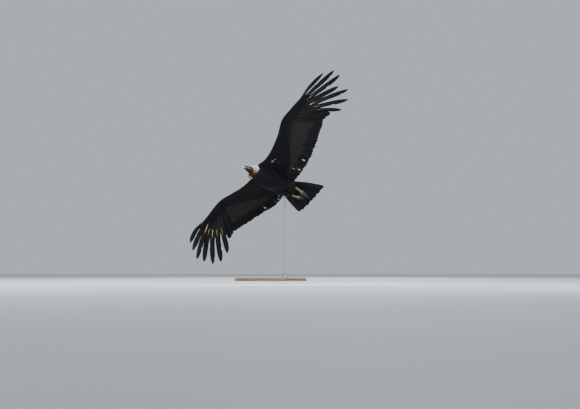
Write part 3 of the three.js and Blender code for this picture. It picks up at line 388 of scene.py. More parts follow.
for wing in (LEFT_WING, RIGHT_WING):
    print(wing["name"], "wing height at the elbow", round(float(wing_height(wing, 0, 370)[0]), 1), "mm")

# %% [markdown]
# Tubes such as the trunk, the neck and the toes all start as a flat grid. Its long side is rolled
# round a row of rings, the seam is merged and both ends are closed, as one would do by hand.

# %% Rolling a grid into a closed tube
def finish_mesh(piece, finishes):
    """Brings a piece made in the bird's frame to its place and smooths it."""
    piece.data.transform(TO_WORLD)
    for one in finishes:
        piece.data.materials.append(one)
    piece.data.polygons.foreach_set("use_smooth", [True] * len(piece.data.polygons))
    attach(piece, "root")


def tube(name, along, around, shape):
    """Closed tube. shape takes how far along and the angle round, and gives x, y and z."""
    deselect()
    bpy.ops.mesh.primitive_grid_add(x_subdivisions=along, y_subdivisions=around, size=2)
    made = bpy.context.object
    made.name = name
    flat = np.empty(len(made.data.vertices) * 3)
    made.data.vertices.foreach_get("co", flat)
    flat = flat.reshape(-1, 3)
    points = shape((flat[:, 0] + 1) / 2, (flat[:, 1] + 1) * math.pi)
    made.data.vertices.foreach_set("co", np.stack(points, 1).ravel())
    bpy.ops.object.mode_set(mode="EDIT")
    bpy.ops.mesh.select_all(action="SELECT")
    bpy.ops.mesh.remove_doubles(threshold=1e-3)
    bpy.ops.mesh.select_all(action="DESELECT")
    bpy.ops.mesh.select_non_manifold()
    bpy.ops.mesh.fill_holes(sides=0)
    bpy.ops.mesh.select_all(action="SELECT")
    bpy.ops.mesh.normals_make_consistent(inside=False)
    bpy.ops.object.mode_set(mode="OBJECT")
    return made


def fused(name, parts, voxel, smoothing=2):
    """Parts joined into one closed skin by a voxel remesh, and smoothed."""
    deselect()
    for part in parts:
        part.select_set(True)
    bpy.context.view_layer.objects.active = parts[0]
    bpy.ops.object.join()
    made = bpy.context.object
    made.name = name
    shrink = made.modifiers.new("one skin", "REMESH")
    shrink.mode, shrink.voxel_size = "VOXEL", voxel
    bpy.ops.object.modifier_apply(modifier=shrink.name)
    relax = made.modifiers.new("soften", "SMOOTH")
    relax.factor, relax.iterations = 0.5, smoothing
    bpy.ops.object.modifier_apply(modifier=relax.name)
    return made


# %% [markdown]
# Skin: on the real bird it is one bag from the neck to the tail. Trunk, arms, hands and thighs are
# rolled up separately, a feather's depth inside their outer surface, and then fused, so that no
# seam can show where feathers part.

# %% One skin under the coat
COAT_DEPTH = 7
LEGS = dict(
    left=dict(thigh=(-120, 62, -80), ankle=(-350, 80, -66), foot=(-454, 66, -74), toe_end=(-610, 26, -66)),
    right=dict(
        thigh=(-130, -56, -82), ankle=(-388, -38, -68), foot=(-470, -24, -74), toe_end=(-566, -12, -64),
    ),
)
# Thighs: share of the way from hip to ankle, radius
THIGH_ROWS = [(0, 26), (0.35, 39), (0.6, 40), (0.8, 31), (0.93, 21), (1, 13.5)]


def trunk_point(x, angle, out=0):
    """Point on the trunk at x, angle counted from the bird's left over its back."""
    half, top, low, axis = np.moveaxis(smooth(TRUNK, x), -1, 0)
    tall = np.where(np.sin(angle) > 0, top, low)
    return x, np.cos(angle) * (half + out), axis + np.sin(angle) * (tall + out)


def arm_point(wing, share, angle, inset):
    """Point on the arm: round its section from the leading edge over the top and back below."""
    y = blend(40, ARM_END - 6, share)
    lead_x = smooth(wing["lead"], y)[..., 0]
    depth = smooth(ARM, (y - ARM_FROM) / (ARM_END - ARM_FROM))[..., 0]
    back = (1 - np.cos(angle)) / 2
    front = 0.5 * inset
    x = lead_x - front - (depth - front) * back
    z, _ = wing_height(wing, x, y)
    half = np.maximum(arm_half(wing, x, y) - inset * 0.8, 1.6)
    z = z + np.sign(np.sin(angle)) * half * np.minimum(1, np.abs(np.sin(angle)) * 4)
    return x, y * wing["side"], z


def thigh_point(leg, share, angle, out=0):
    """Point on the feathered thigh at share of the way from hip to ankle."""
    hip, ankle = np.array(leg["thigh"], float), np.array(leg["ankle"], float)
    radius = smooth(THIGH_ROWS, share)[..., 0] + out
    x, y, z = np.moveaxis(hip + (ankle - hip) * np.asarray(share)[..., None], -1, 0)
    return x, y + np.cos(angle) * radius, z + np.sin(angle) * radius


parts = [tube("trunk", 60, 48, lambda s, a: trunk_point(blend(168, -428, s), a, -COAT_DEPTH))]
for wing in (LEFT_WING, RIGHT_WING):
    parts.append(tube("arm", 90, 24, lambda s, a, wing=wing: arm_point(wing, s, a, COAT_DEPTH - 2)))
for leg in LEGS.values():
    parts.append(tube("thigh", 30, 24, lambda s, a, leg=leg: thigh_point(leg, s, a, -COAT_DEPTH + 1)))
skin = fused("skin", parts, 5)
print("skin", len(skin.data.polygons), "faces")

# %% [markdown]
# A feather is a flat vane on a shaft. A few vanes of each kind are modelled: a grid whose rows are drawn in
# to the outline of the feather, and which the Solidify modifier gives a thickness.
# Its points are then read back as shares along and across, ready to be laid on the bird.

# %% Model vanes
# A split is a nick in the edge, where the barbs have come apart
SPLIT_HALF_LENGTH, SPLIT_WIDTH = 0.022, 0.8


def read_shape(piece, order="xyz"):
    """Takes the points and faces off a modelled piece and removes it. order names t, s and h."""
    points = np.empty(len(piece.data.vertices) * 3)
    piece.data.vertices.foreach_get("co", points)
    faces = [tuple(face.vertices) for face in piece.data.polygons]
    bpy.data.objects.remove(piece)
    t, s, h = (points.reshape(-1, 3)[:, "xyz".index(axis)] for axis in order)
    return dict(t=t, s=s, h=h, faces=faces)


def vane_shape(name, across, along, outline, splits=()):
    """Unit vane: t across from -1 to 1 within its outline, s from root to tip, h through it."""
    deselect()
    bpy.ops.mesh.primitive_grid_add(x_subdivisions=across, y_subdivisions=along, size=2)
    made = bpy.context.object
    made.name = name
    for point in made.data.vertices:
        # The rows stand closer towards the tip
        share = 1 - (1 - (point.co.y + 1) / 2) ** 1.6
        width = np.interp(share, *zip(*outline))
        if any(abs(share - at) < SPLIT_HALF_LENGTH and point.co.x * side > 0.8 for side, at in splits):
            width *= SPLIT_WIDTH
        # The web bulges beyond the end of the shaft, which rounds the tip
        share += 0.02 * width * (1 - abs(point.co.x)) * (share > 0.97)
        point.co = (point.co.x * width, share, 0)
    thick = made.modifiers.new("thickness", "SOLIDIFY")
    thick.thickness, thick.offset = 1, 0
    bpy.ops.object.modifier_apply(modifier=thick.name)
    return read_shape(made)


def ring_of(angle, radius):
    return np.cos(angle) * radius, np.sin(angle) * radius


# Outlines: share of the length, share of the width
ROUND_END = [
    (0, 0.3), (0.12, 0.8), (0.3, 1), (0.85, 1), (0.9, 0.96), (0.94, 0.88), (0.97, 0.73), (0.99, 0.5),
    (1, 0.22),
]
BLADE_END = [
    (0, 0.4), (0.1, 0.9), (0.2, 1), (0.7, 1), (0.8, 0.97), (0.88, 0.85), (0.94, 0.62), (0.98, 0.34),
    (1, 0.12),
]
LEAF = [(0, 0.14), (0.25, 0.72), (0.5, 1), (0.78, 0.95), (0.93, 0.62), (1, 0.22)]
# Splits of three vanes each: side of the shaft, share of the length
FLIGHT_SPLITS = ((), ((-1, 0.83),), ((-1, 0.9), (1, 0.7)))
FINGER_SPLITS = ((), ((-1, 0.72),), ((1, 0.62), (-1, 0.86)))
flight_vanes = [vane_shape("flight vane", 8, 26, ROUND_END, splits) for splits in FLIGHT_SPLITS]
finger_vanes = [vane_shape("finger vane", 8, 34, BLADE_END, splits) for splits in FINGER_SPLITS]
flight_vane = flight_vanes[0]
covert_vane = vane_shape("covert vane", 4, 9, ROUND_END)
contour_vane = vane_shape("contour vane", 4, 4, LEAF)
small_vane = vane_shape("small vane", 2, 4, LEAF)
down_lock = read_shape(tube("down lock", 5, 3, lambda s, a: (*ring_of(a, 1 - 0.85 * s**1.5), s)), "xzy")
quill = read_shape(tube("quill", 24, 6, lambda s, a: (*ring_of(a, 1), s)), "xzy")
for kind, one in (("flight", flight_vane), ("covert", covert_vane), ("small", small_vane)):
    print(kind, "vane of", len(one["faces"]), "faces")

# %% [markdown]
# Laid feathers are gathered as plain lists of points, faces and marks, and become one mesh per
# part of the plumage. The map for baking gives each feather a patch of its own, its upper face
# and its lower face side by side: small ones at their root's place on the unrolled skin, long ones
# in a row.

# %% Gathering feathers into one mesh
SMALL_PATCH = (0.003, 0.003)
LONG_PATCH = (0.024, 0.15)


def new_coat():
    return dict(points=[], faces=[], vane=[], bake=[], white=[], brown=[], tone=[], count=0)


def gather(coat, shape, points, across, along, root, marks, patch=SMALL_PATCH, finish=0, flip=False):
    """Adds feathers of one shape. points is N by V by 3, root is N by 2, marks are N by V."""
    number, size = points.shape[:2]
    spread = lambda value: np.broadcast_to(value, (number, size))
    coat["points"].append(points.reshape(-1, 3))
    faces = [face[::-1] for face in shape["faces"]] if flip else shape["faces"]
    coat["faces"].append((faces, number, size, coat["count"], finish))
    coat["count"] += number * size
    coat["vane"].append(np.stack([spread(across), spread(along)], -1).reshape(-1, 2) * MM)
    below = shape["h"] < 0
    u = root[:, :1] + patch[0] * (0.06 + 0.38 * (np.clip(shape["t"], -1, 1) + 1) / 2 + 0.5 * below)
    v = root[:, 1:] + patch[1] * np.clip(shape["s"], 0, 1) * 0.92
    coat["bake"].append(np.stack([spread(u), spread(v)], -1).reshape(-1, 2))
    for name in ("white", "brown", "tone"):
        coat[name].append(spread(marks.get(name, 0.0)).ravel().astype(float))


def coat_piece(name, coat, finishes, slot, *replaced):
    """Turns the gathered feathers into one mesh with its maps and marks."""
    points = np.concatenate(coat["points"])
    corners, starts, kinds = [], [], []
    start = 0
    for faces, number, size, first, finish in coat["faces"]:
        flat = np.concatenate([np.array(face) for face in faces])
        sizes = np.array([len(face) for face in faces])
        shift = first + np.arange(number)[:, None] * size
        corners.append((flat[None, :] + shift).ravel())
        offsets = np.concatenate([[0], np.cumsum(sizes)[:-1]])
        starts.append((start + offsets[None, :] + np.arange(number)[:, None] * len(flat)).ravel())
        kinds.append(np.full(number * len(faces), finish))
        start += number * len(flat)
    corners, starts, kinds = (np.concatenate(part) for part in (corners, starts, kinds))
    mesh = bpy.data.meshes.new(name)
    mesh.vertices.add(len(points))
    mesh.vertices.foreach_set("co", points.ravel())
    mesh.loops.add(len(corners))
    mesh.polygons.add(len(starts))
    mesh.polygons.foreach_set("loop_start", starts)
    mesh.polygons.foreach_set("vertices", corners)
    mesh.polygons.foreach_set("material_index", kinds)
    mesh.update(calc_edges=True)
    for key, title in (("bake", "OFBake"), ("vane", "vane")):
        layer = mesh.uv_layers.new(name=title)
        layer.data.foreach_set("uv", np.concatenate(coat[key])[corners].ravel())
    for key in ("white", "brown", "tone"):
        mark = mesh.attributes.new(key, "FLOAT", "POINT")
        mark.data.foreach_set("value", np.concatenate(coat[key]))
    made = bpy.data.objects.new(name, mesh)
    bpy.context.collection.objects.link(made)
    finish_mesh(made, finishes)
    if replaced:
        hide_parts(*replaced)
    triangles = int(np.sum(np.diff(np.append(starts, len(corners))) - 2))
    print(name, triangles, "triangles")


# %% [markdown]
# Flight feathers of the wing. Ten primaries fan out from the hand: they leave it in the wing's own
# surface and then bend up as free fingers, each narrowed where it leaves its neighbours. The
# secondaries stand side by side along the forearm. Each vane is tilted a little, outer web up, so
# that it lies over its outer neighbour as seen from above, like tiles.

# %% Paths of the flight feathers
# Primaries: widths of both webs, tilt in degrees, spacing of their roots, sag as a share of the
# reach, camber and radius of the quill
PRIMARY = dict(outer=18, inner=47, tilt=8, spacing=20, sag=0.045, camber=3.5, quill=4.6)
# Share of the length at which each primary is notched, innermost first; 1 has no notch
NOTCH = (1, 1, 1, 0.56, 0.47, 0.42, 0.32, 0.29, 0.28, 0.27)
# Forward bow of each, as a share of its reach
BOW = (0.02, 0.02, 0.03, 0.04, 0.05, 0.06, 0.06, 0.07, 0.09, 0.15)
# How much of the inner web is left just beyond the notch
WAIST = (1, 1, 1, 0.9, 0.9, 0.9, 0.8, 0.8, 0.62, 0.62)
# Vanes of long feathers: thickness, and the width over which they sink by their camber
VANE_THICK, CAMBERED_OVER = 0.9, 40
# Quills: share of the feather that they reach, how far they are sunk, how much of them tapers off
QUILL_END, QUILL_SUNK, QUILL_TAPER = 0.94, 1.0, 0.82
# Secondaries: how many, how many of them on the forearm, sizes as above, how far the outermost root
# and tip stay off the wrist and the last primary, y of the innermost root and tip, outward bulge
SECONDARY = dict(
    count=24, on_forearm=19, outer=16, inner=43, tilt=5.5, camber=2.5, quill=2.6, wrist_gap=26, tip_gap=24,
    last_root=168, last_tip=150, bulge=5,
)
# The secondaries stand on a line: its x at the body and elbow, and its distance from the wrist
REMEX_X, REMEX_INSET = (42, 62), (34, 22)


def primary_path(wing, k):
    """Shaft of primary k, counted from 0 innermost to 9 at the leading edge."""
    wrist, hand = np.array(wing["wrist"], float), np.array(wing["hand"], float)
    outwards = (hand - wrist) / np.linalg.norm(hand - wrist)
    root = wrist + (-22, 0, -4) + outwards * PRIMARY["spacing"] * (k + 1)
    fan, rise, reach = math.radians(wing["fan"][k]), math.radians(wing["rise"][k]), wing["reach"][k]
    free_from = NOTCH[k] + 0.15 if NOTCH[k] < 1 else 4

    def path(s):
        arch = 4 * s * (1 - s)
        out = reach * math.cos(rise) * s
        ahead = (reach * BOW[k] * 0.5 + wing["sweep"][k] * step(0.2, 0.6, s)) * arch
        x = root[0] - math.sin(fan) * out + math.cos(fan) * ahead
        y = root[1] + math.cos(fan) * out + math.sin(fan) * ahead
        free = root[2] + reach * (math.sin(rise) * s - PRIMARY["sag"] * arch)
        bound = wing_height(wing, x, y)[0]
        return np.stack([x, y, blend(bound, free, step(0.05, free_from, s))], -1)

    return path


def remex_line(wing, y):
    """x of the line on which the secondaries stand, at y."""
    wrist_x, wrist_y, _ = wing["wrist"]
    places = [135, wrist_y * ELBOW, wrist_y - REMEX_INSET[1]]
    return np.interp(y, places, [*REMEX_X, wrist_x - REMEX_INSET[0]])


def secondary_lines(wing, count):
    """Root and tip, each x and y, of the secondaries from the wrist inwards."""
    wrist, elbow = wing["wrist"][1] - SECONDARY["wrist_gap"], wing["wrist"][1] * ELBOW
    outer_tip = wing["trail"][-2][0] - SECONDARY["tip_gap"]
    share = np.linspace(0, 1, count)
    forearm = (SECONDARY["on_forearm"] - 1) / (SECONDARY["count"] - 1)
    root_y = np.interp(share, [0, forearm, 1], [wrist, elbow, SECONDARY["last_root"]])
    tip_y = blend(outer_tip, SECONDARY["last_tip"], share)
    tip_x = smooth(wing["trail"], tip_y)[..., 0]
    return np.stack([remex_line(wing, root_y), root_y], 1), np.stack([tip_x, tip_y], 1)


def sheet_path(wing, root, tip, lift=0.0):
    """Path on the wing's surface from root to tip, bulging a little outwards."""

    def path(s):
        x = blend(root[0], tip[0], s)
        y = blend(root[1], tip[1], s) + SECONDARY["bulge"] * np.sin(math.pi * s)
        return np.stack([x, y, wing_height(wing, x, y)[0] + lift], -1)

    return path


def hump(at, middle, width):
    """1 at the middle, and soon 0 beyond width on both sides."""
    return np.exp(-(((at - middle) / width) ** 2))


def unit(vectors):
    return vectors / np.linalg.norm(vectors, axis=-1, keepdims=True)


def sheet_up(wing, path):
    """Direction out of the wing's surface along a path on it."""

    def up(s):
        x, y = path(s)[..., 0], path(s)[..., 1]
        slope_x = (wing_height(wing, x + 6, y)[0] - wing_height(wing, x - 6, y)[0]) / 12
        slope_y = (wing_height(wing, x, y + 6)[0] - wing_height(wing, x, y - 6)[0]) / 12
        return unit(np.stack([-slope_x, -slope_y, np.ones_like(x)], -1))

    return up


def constant(value):
    """Width that is the same all along a vane."""
    return lambda s: value * np.ones_like(s)


def bend(shape, path, up, outer, inner, tilt, camber):
    """Lays one vane along its path. Returns its points and how far each lies across."""
    s, t, h = shape["s"], shape["t"], shape["h"]
    inside = np.clip(s, 0, 1)
    ahead, behind = np.minimum(inside + 0.01, 1), np.maximum(inside - 0.01, 0)
    run = unit(path(ahead) - path(behind))
    across = unit(np.cross(run, up(inside)))
    back = np.cross(across, run)
    lean = math.radians(tilt)
    level = across
    across = level * math.cos(lean) + back * math.sin(lean)
    back = back * math.cos(lean) - level * math.sin(lean)
    wide = np.where(t > 0, t * outer(s), t * inner(s))
    length = np.linalg.norm(path(np.array([1.0])) - path(np.array([0.0])))
    centre = path(inside) + run * ((s - inside) * length)[:, None]
    height = h * VANE_THICK - camber * (wide / CAMBERED_OVER) ** 2
    return centre + across * wide[:, None] + back * height[:, None], wide


def flat_up(_):
    return np.array([0.0, 0.0, 1.0])


def quill_points(path, thickness):
    """Points of the tapering quill along a path, sunk a little below the vane."""
    share = np.clip(quill["s"], 0, 1)
    run = unit(path(np.minimum(share + 0.01, 1)) - path(np.maximum(share - 0.01, 0)))
    across = unit(np.cross(run, flat_up(0)))
    back = np.cross(across, run)
    radius = thickness * (1 - QUILL_TAPER * share)
    ring = across * (quill["t"] * radius)[:, None] + back * (quill["h"] * radius - QUILL_SUNK)[:, None]
    return path(share * QUILL_END) + ring


# %% [markdown]
# Markings of the wing. Below, the coverts are black and the bases of the flight feathers are a
# grey brown that ends well before the trailing edge. Above, the outer webs of the secondaries are
# white, with black ends, as in adult males; the photograph shows only the underside.

# %% Markings of the wing
# Rear border of the black coverts below: y, share of the wing's depth there
LINING = [(200, 0.7), (266, 0.62), (419, 0.42), (619, 0.3), (785, 0.27), (950, 0.25)]
BAND_END = 0.76
# Places below where painted light shows between the inner secondaries: x, y and how bright
SLITS = dict(
    left=((-284, 394, 1.1), (-311, 267, 0.85), (-246, 241, 0.5), (-255, 191, 0.4)),
    right=((-314, 147, 0.9), (-339, 190, 1.1), (-327, 233, 0.8), (-282, 378, 0.95)),
)
SLIT_LENGTH, SLIT_WIDTH = 14, 2.7


def wing_marks(wing, shape, points, tone, browned, primary):
    """White, brown and tone of a flight feather from where it lies on the wing."""
    x, y, _ = points.T
    _, chord = wing_height(wing, x, y)
    below, t = shape["h"] < 0, shape["t"]
    lining_end, band_end = np.interp(y, *zip(*LINING)), BAND_END + rng.uniform(-0.03, 0.03)
    band = step(lining_end - 0.05, lining_end + 0.06, chord)
    band = band * (1 - step(band_end - 0.08, band_end + 0.05, chord))
    outward = step(60, 260, y) * (1 - step(0.3, 0.55, shape["s"]) if primary else 1)
    # Both edges of the vane are painted dark, as painted shade where neighbours overlap, which draws a line
    # between them
    overlap_shade = 1 - 0.75 * step(0.78, 1.0, np.abs(t))
    brown = band * outward * overlap_shade * below * browned
    # Painted light: pale patches where light shows between the inner secondaries
    light = sum(bright * hump(x, at_x, SLIT_LENGTH) * hump(y, at_y, SLIT_WIDTH)
                for at_x, at_y, bright in SLITS[wing["name"]]) * below
    panel = step(0.42, 0.5, chord) * (1 - step(0.86, 0.93, chord)) * (t > -0.25) * (t < 0.82)
    panel = panel * step(150, 230, y) * (1 - step(760, 860, y)) * ~below
    white = np.clip(panel * (not primary) + light, 0, 1)
    return dict(white=white, brown=np.maximum(brown, light > 0.2), tone=np.full(len(t), tone))


def long_cell(index):
    """Place of a long feather's patch on the map for baking, counted from the leading edge."""
    return 0.01 + LONG_PATCH[0] * index, 0.02


def add_flight(coat, wing, index, shape, path, laid, quill_size, quill_pale, browned=1.0, primary=False):
    """Adds one flight feather with its quill to the coat."""
    points, wide = laid
    marks = wing_marks(wing, shape, points, rng.random(), browned, primary)
    marks = {key: value[None] for key, value in marks.items()}
    turned = points * (1, wing["side"], 1)
    root, flip = np.array([long_cell(index)]), wing["side"] < 0
    length = shape["s"] * np.linalg.norm(points[-1] - points[0])
    gather(coat, shape, turned[None], wide, length, root, marks, LONG_PATCH, 0, flip)
    shaft = quill_points(path, quill_size) * (1, wing["side"], 1)
    pale = quill_pale(np.clip(quill["s"], 0, 1) * QUILL_END)[None]
    gather(coat, quill, shaft[None], quill["t"], quill["s"], root, dict(white=pale), LONG_PATCH, 1, flip)


# Bare ivory stretch of each primary's quill below, innermost first: from, to, how pale
NO_STREAK = (0, 0.1, 0)
STREAKS = dict(
    left=(
        NO_STREAK, NO_STREAK, NO_STREAK, (0.49, 0.58, 0.5), (0.4, 0.48, 0.5), (0.2, 0.4, 1),
        (0.24, 0.31, 0.15), (0.23, 0.38, 0.9), (0.24, 0.31, 0.7), (0.25, 0.3, 0.2),
    ),
    right=(
        NO_STREAK, NO_STREAK, NO_STREAK, (0.44, 0.56, 0.6), (0.38, 0.48, 0.75), (0.3, 0.46, 1),
        (0.27, 0.41, 1), (0.27, 0.4, 0.9), (0.27, 0.38, 0.5), (0.25, 0.33, 0.3),
    ),
)
# Long scapulars: root and tip, each x and y, and lift off the wing's surface
SCAPULARS = (((-30, 100), (-352, 120), 0), ((-20, 82), (-304, 92), 4), ((-10, 104), (-256, 112), 7))
SCAPULAR = dict(outer=26, inner=36, quill=2.2)


def dark_quill(s):
    return np.zeros_like(s)


def flight_coat(wing):
    """Primaries and secondaries of one wing, from the leading edge to the body."""
    coat = new_coat()
    paths = [primary_path(wing, k) for k in range(10)]
    for k, path in enumerate(paths):
        outer_path, inner_path = paths[min(k + 1, 9)], paths[max(k - 1, 0)]

        def up(s, path=path, outer_path=outer_path, inner_path=inner_path):
            run = path(np.minimum(s + 0.02, 1)) - path(np.maximum(s - 0.02, 0))
            return unit(np.cross(outer_path(s) - inner_path(s), run))

        fingered = NOTCH[k] < 1

        def web(broad, narrow, waist, k=k):
            """Width of one web: broad up to the notch and narrow beyond it, least just past it."""
            if not fingered:
                return constant(broad)
            regained = lambda s: blend(waist, 1, step(NOTCH[k] + 0.05, 0.75, s))
            return lambda s: blend(broad, narrow * regained(s), step(NOTCH[k] - 0.05, NOTCH[k] + 0.05, s))

        # The outermost primary has the slimmest outer web
        slim = 0.6 if k == 9 else 1
        ninth_outer, ninth_inner = wing["ninth"] if k == 8 else (1, 1)
        shape = (finger_vanes if fingered else flight_vanes)[k % 3]
        narrow_outer, narrow_inner = wing["fingers"]
        outer = web(PRIMARY["outer"] * slim, narrow_outer * slim * ninth_outer, 1)
        inner = web(PRIMARY["inner"], narrow_inner * ninth_inner, WAIST[k])
        laid = bend(shape, path, up, outer, inner, PRIMARY["tilt"], PRIMARY["camber"])
        low, high, strength = STREAKS[wing["name"]][k]
        bared = lambda s: step(low - 0.03, low + 0.02, s) * (1 - step(high - 0.06, high + 0.04, s))
        pale = lambda s: strength * bared(s)
        browned = wing["browned"][k > 4]
        add_flight(coat, wing, k, shape, path, laid, PRIMARY["quill"], pale, browned, True)
    roots, tips = secondary_lines(wing, SECONDARY["count"])
    outer, inner = constant(SECONDARY["outer"]), constant(SECONDARY["inner"])
    # Their quills are a little paler at the root
    pale = lambda s: 0.12 * (1 - step(0.1, 0.5, s))
    for k, (root, tip) in enumerate(zip(roots, tips), 10):
        tip = tip + (rng.uniform(-5, 5), rng.uniform(-2, 2))
        path = sheet_path(wing, root, tip)
        shape = flight_vanes[rng.integers(3)]
        tilt = SECONDARY["tilt"] + rng.uniform(-0.6, 0.6)
        laid = bend(shape, path, sheet_up(wing, path), outer, inner, tilt, SECONDARY["camber"])
        add_flight(coat, wing, k, shape, path, laid, SECONDARY["quill"], pale)
    # Long scapulars close the wing against the flank
    outer, inner = constant(SCAPULAR["outer"]), constant(SCAPULAR["inner"])
    for k, (root, tip, lift) in enumerate(SCAPULARS, 10 + SECONDARY["count"]):
        path = sheet_path(wing, root, tip, lift)
        up = sheet_up(wing, path)
        laid = bend(flight_vane, path, up, outer, inner, SECONDARY["tilt"], SECONDARY["camber"])
        add_flight(coat, wing, k, flight_vane, path, laid, SCAPULAR["quill"], dark_quill, 0)
    return coat


for wing in (LEFT_WING, RIGHT_WING):
    name = f"flight_feathers_{wing['name']}"
    coat_piece(name, flight_coat(wing), (flight_finish, quill_finish), "plumage", f"wing_{wing['name']}")

# %% [markdown]
# Coverts roof the bases of the flight feathers in tiers: one row of greater coverts, a shorter row
# of median coverts, and many rows of small ones up to the leading edge. They are laid on the wing
# as on a map, x and y, and then lifted to the wing's surface; each starts lower than it ends, so
# that it covers the roots of the next row.

# %% Surfaces that the coverts lie on
# The coat runs from the wing into the trunk with a rounded inner corner, between these two y
FILLET = 14
JOINS_TRUNK = (150, 230)
# Direction of the small coverts in degrees from straight back, by y; the third y is the wrist's
LEAN_AT, LEAN, LEAN_SHARE = (50, 300, 1046), (-4, 6, 30, 78), 0.85


def trunk_face(x, y, above):
    """Height of the top or underside of the trunk at x and y, far inside beyond its flank."""
    half, top, low, axis = np.moveaxis(smooth(TRUNK, np.clip(x, -428, 158)), -1, 0)
    round_part = np.sqrt(np.clip(1 - (y / half) ** 2, 0, 1))
    away = 400 * np.clip(np.abs(y) / half - 1, 0, 1)
    return axis + (top * round_part - away if above else -low * round_part + away)


def wing_face(wing, x, y, above, out):
    """Height of the coat's base on the upper or lower side of the wing, run into the trunk."""
    middle, _ = wing_height(wing, x, y)
    half = arm_half(wing, x, y)
    sign = 1 if above else -1
    own, trunk = middle + sign * half, trunk_face(x, y, above)
    joined = (own + trunk + sign * np.sqrt((own - trunk) ** 2 + FILLET**2) - sign * FILLET / 2) / 2
    near = 1 - step(*JOINS_TRUNK, y)
    return blend(own, joined, near) + sign * out


def lie(wing, y):
    """Direction of the small coverts in degrees from straight back, turning outwards."""
    places = [*LEAN_AT[:2], wing["wrist"][1], LEAN_AT[2]]
    return np.interp(y, places, LEAN) * LEAN_SHARE


def lay_on_wing(coat, wing, shape, x, y, length, half_width, above, lean, lift, marks):
    """Feathers with roots at x and y that lie on one face of the wing."""
    s, t, h = (shape[key][None] for key in ("s", "t", "h"))
    sizes = (x, y, length, half_width, lean)
    x, y, length, half_width, lean = (np.broadcast_to(value, x.shape)[:, None] for value in sizes)
    angle = np.radians(lean)
    across, along = t * half_width, s * length
    px = x - np.cos(angle) * along + np.sin(angle) * across
    py = y + np.sin(angle) * along + np.cos(angle) * across
    out = blend(lift[0], lift[1], s) + h * 0.5 + (1 - t**2) * 0.03 * half_width * (0.4 + 0.6 * s)
    pz = wing_face(wing, px, py, above, out)
    points = np.stack([px, py * wing["side"], pz], -1)
    edge = smooth(wing["lead"], y[:, 0])[..., 0] - x[:, 0]
    root = np.stack([y[:, 0] / 1200, (0.02 if above else 0.52) + edge / 1600], 1)
    # Seen from below the h axis points down, which turns the faces over, as the right wing does
    flip = (wing["side"] < 0) == above
    given = marks(px, py, shape["t"][None], above)
    gather(coat, shape, points, across, along, root, given, flip=flip)


def own_tones(rows):
    """One random tone for each feather, where rows has one row of values a feather."""
    return rng.random((len(rows), 1)) * np.ones_like(rows)


# The white ends begin at this share of the wing's depth
WHITE_FROM = 0.4


def covert_marks(wing):
    """Black coverts, with white ends to the greater coverts of the upper side."""

    def marks(x, y, t, above):
        _, chord = wing_height(wing, x, y)
        white = step(WHITE_FROM, WHITE_FROM + 0.06, chord) * step(170, 240, y) * (1 - step(740, 840, y))
        return dict(white=white * above * (1 - 0.8 * step(0.7, 1, np.abs(t))), tone=own_tones(x))

    return marks


# Small pale spots below, x and y
SPECKS = dict(left=((61, 211), (41, 241), (149, 624)), right=((26, 184), (189, 851)))
SPECK_RADIUS, SPECK_WHITE = 9, 0.8


def black_marks(x, y, t, above):
    """Black, each feather with a tone of its own."""
    return dict(tone=own_tones(x))


def small_marks(wing):
    """Black feathers, but for a few pale spots on the underside."""

    def marks(x, y, t, above):
        spots = (hump(np.hypot(x - at_x, y - at_y), 0, SPECK_RADIUS) for at_x, at_y in SPECKS[wing["name"]])
        return dict(white=sum(spots) * SPECK_WHITE * (not above), tone=own_tones(x))

    return marks


# %% Coverts of both wings
# Ends of the greater coverts, as a share of the secondaries' length: above, and below by y
UPPER_TO = 0.46
LOWER_TO = [(180, 0.62), (266, 0.53), (419, 0.28), (619, 0.2), (785, 0.18)]
# Small coverts: sizes at the leading edge and full grown, at grown_at behind it; no row beyond end
SMALL = dict(half_width=(4.2, 14), length=(10, 56), spacing=(4.2, 13), grown_at=110, end=150)
# Tiers on the hand: reach, half width, lift of root and tip
HAND_TIERS = ((178, 17, (1, 4)), (125, 14, (2, 6)), (80, 11, (3, 7)))
# A tier runs over this many primaries, in steps of a share of one
HAND_TO, HAND_STEP = 9.6, 0.7
# Feathers of the thumb: length, half width
THUMB = ((150, 15), (122, 14), (96, 13))
# Rows of scapulars: x of the root, length, half width
SCAPULAR_ROWS = (
    (-215, 140, 22), (-185, 150, 24), (-150, 165, 25), (-100, 160, 24), (-50, 145, 22), (0, 120, 20),
    (45, 95, 17), (80, 70, 14),
)


def covert_depth(wing, y):
    """How far behind the leading edge the small coverts reach, at y."""
    wrist_x, wrist_y, _ = wing["wrist"]
    lead = lambda at: float(smooth(wing["lead"], at)[0])
    places = [50, 135, wrist_y * ELBOW, wrist_y - REMEX_INSET[1], wrist_y + 200, ARM_END]
    rear = [30, *REMEX_X, wrist_x - REMEX_INSET[0], lead(wrist_y + 200) - 50, lead(ARM_END) - 16]
    return smooth(wing["lead"], y)[..., 0] - np.interp(y, places, rear) + 40


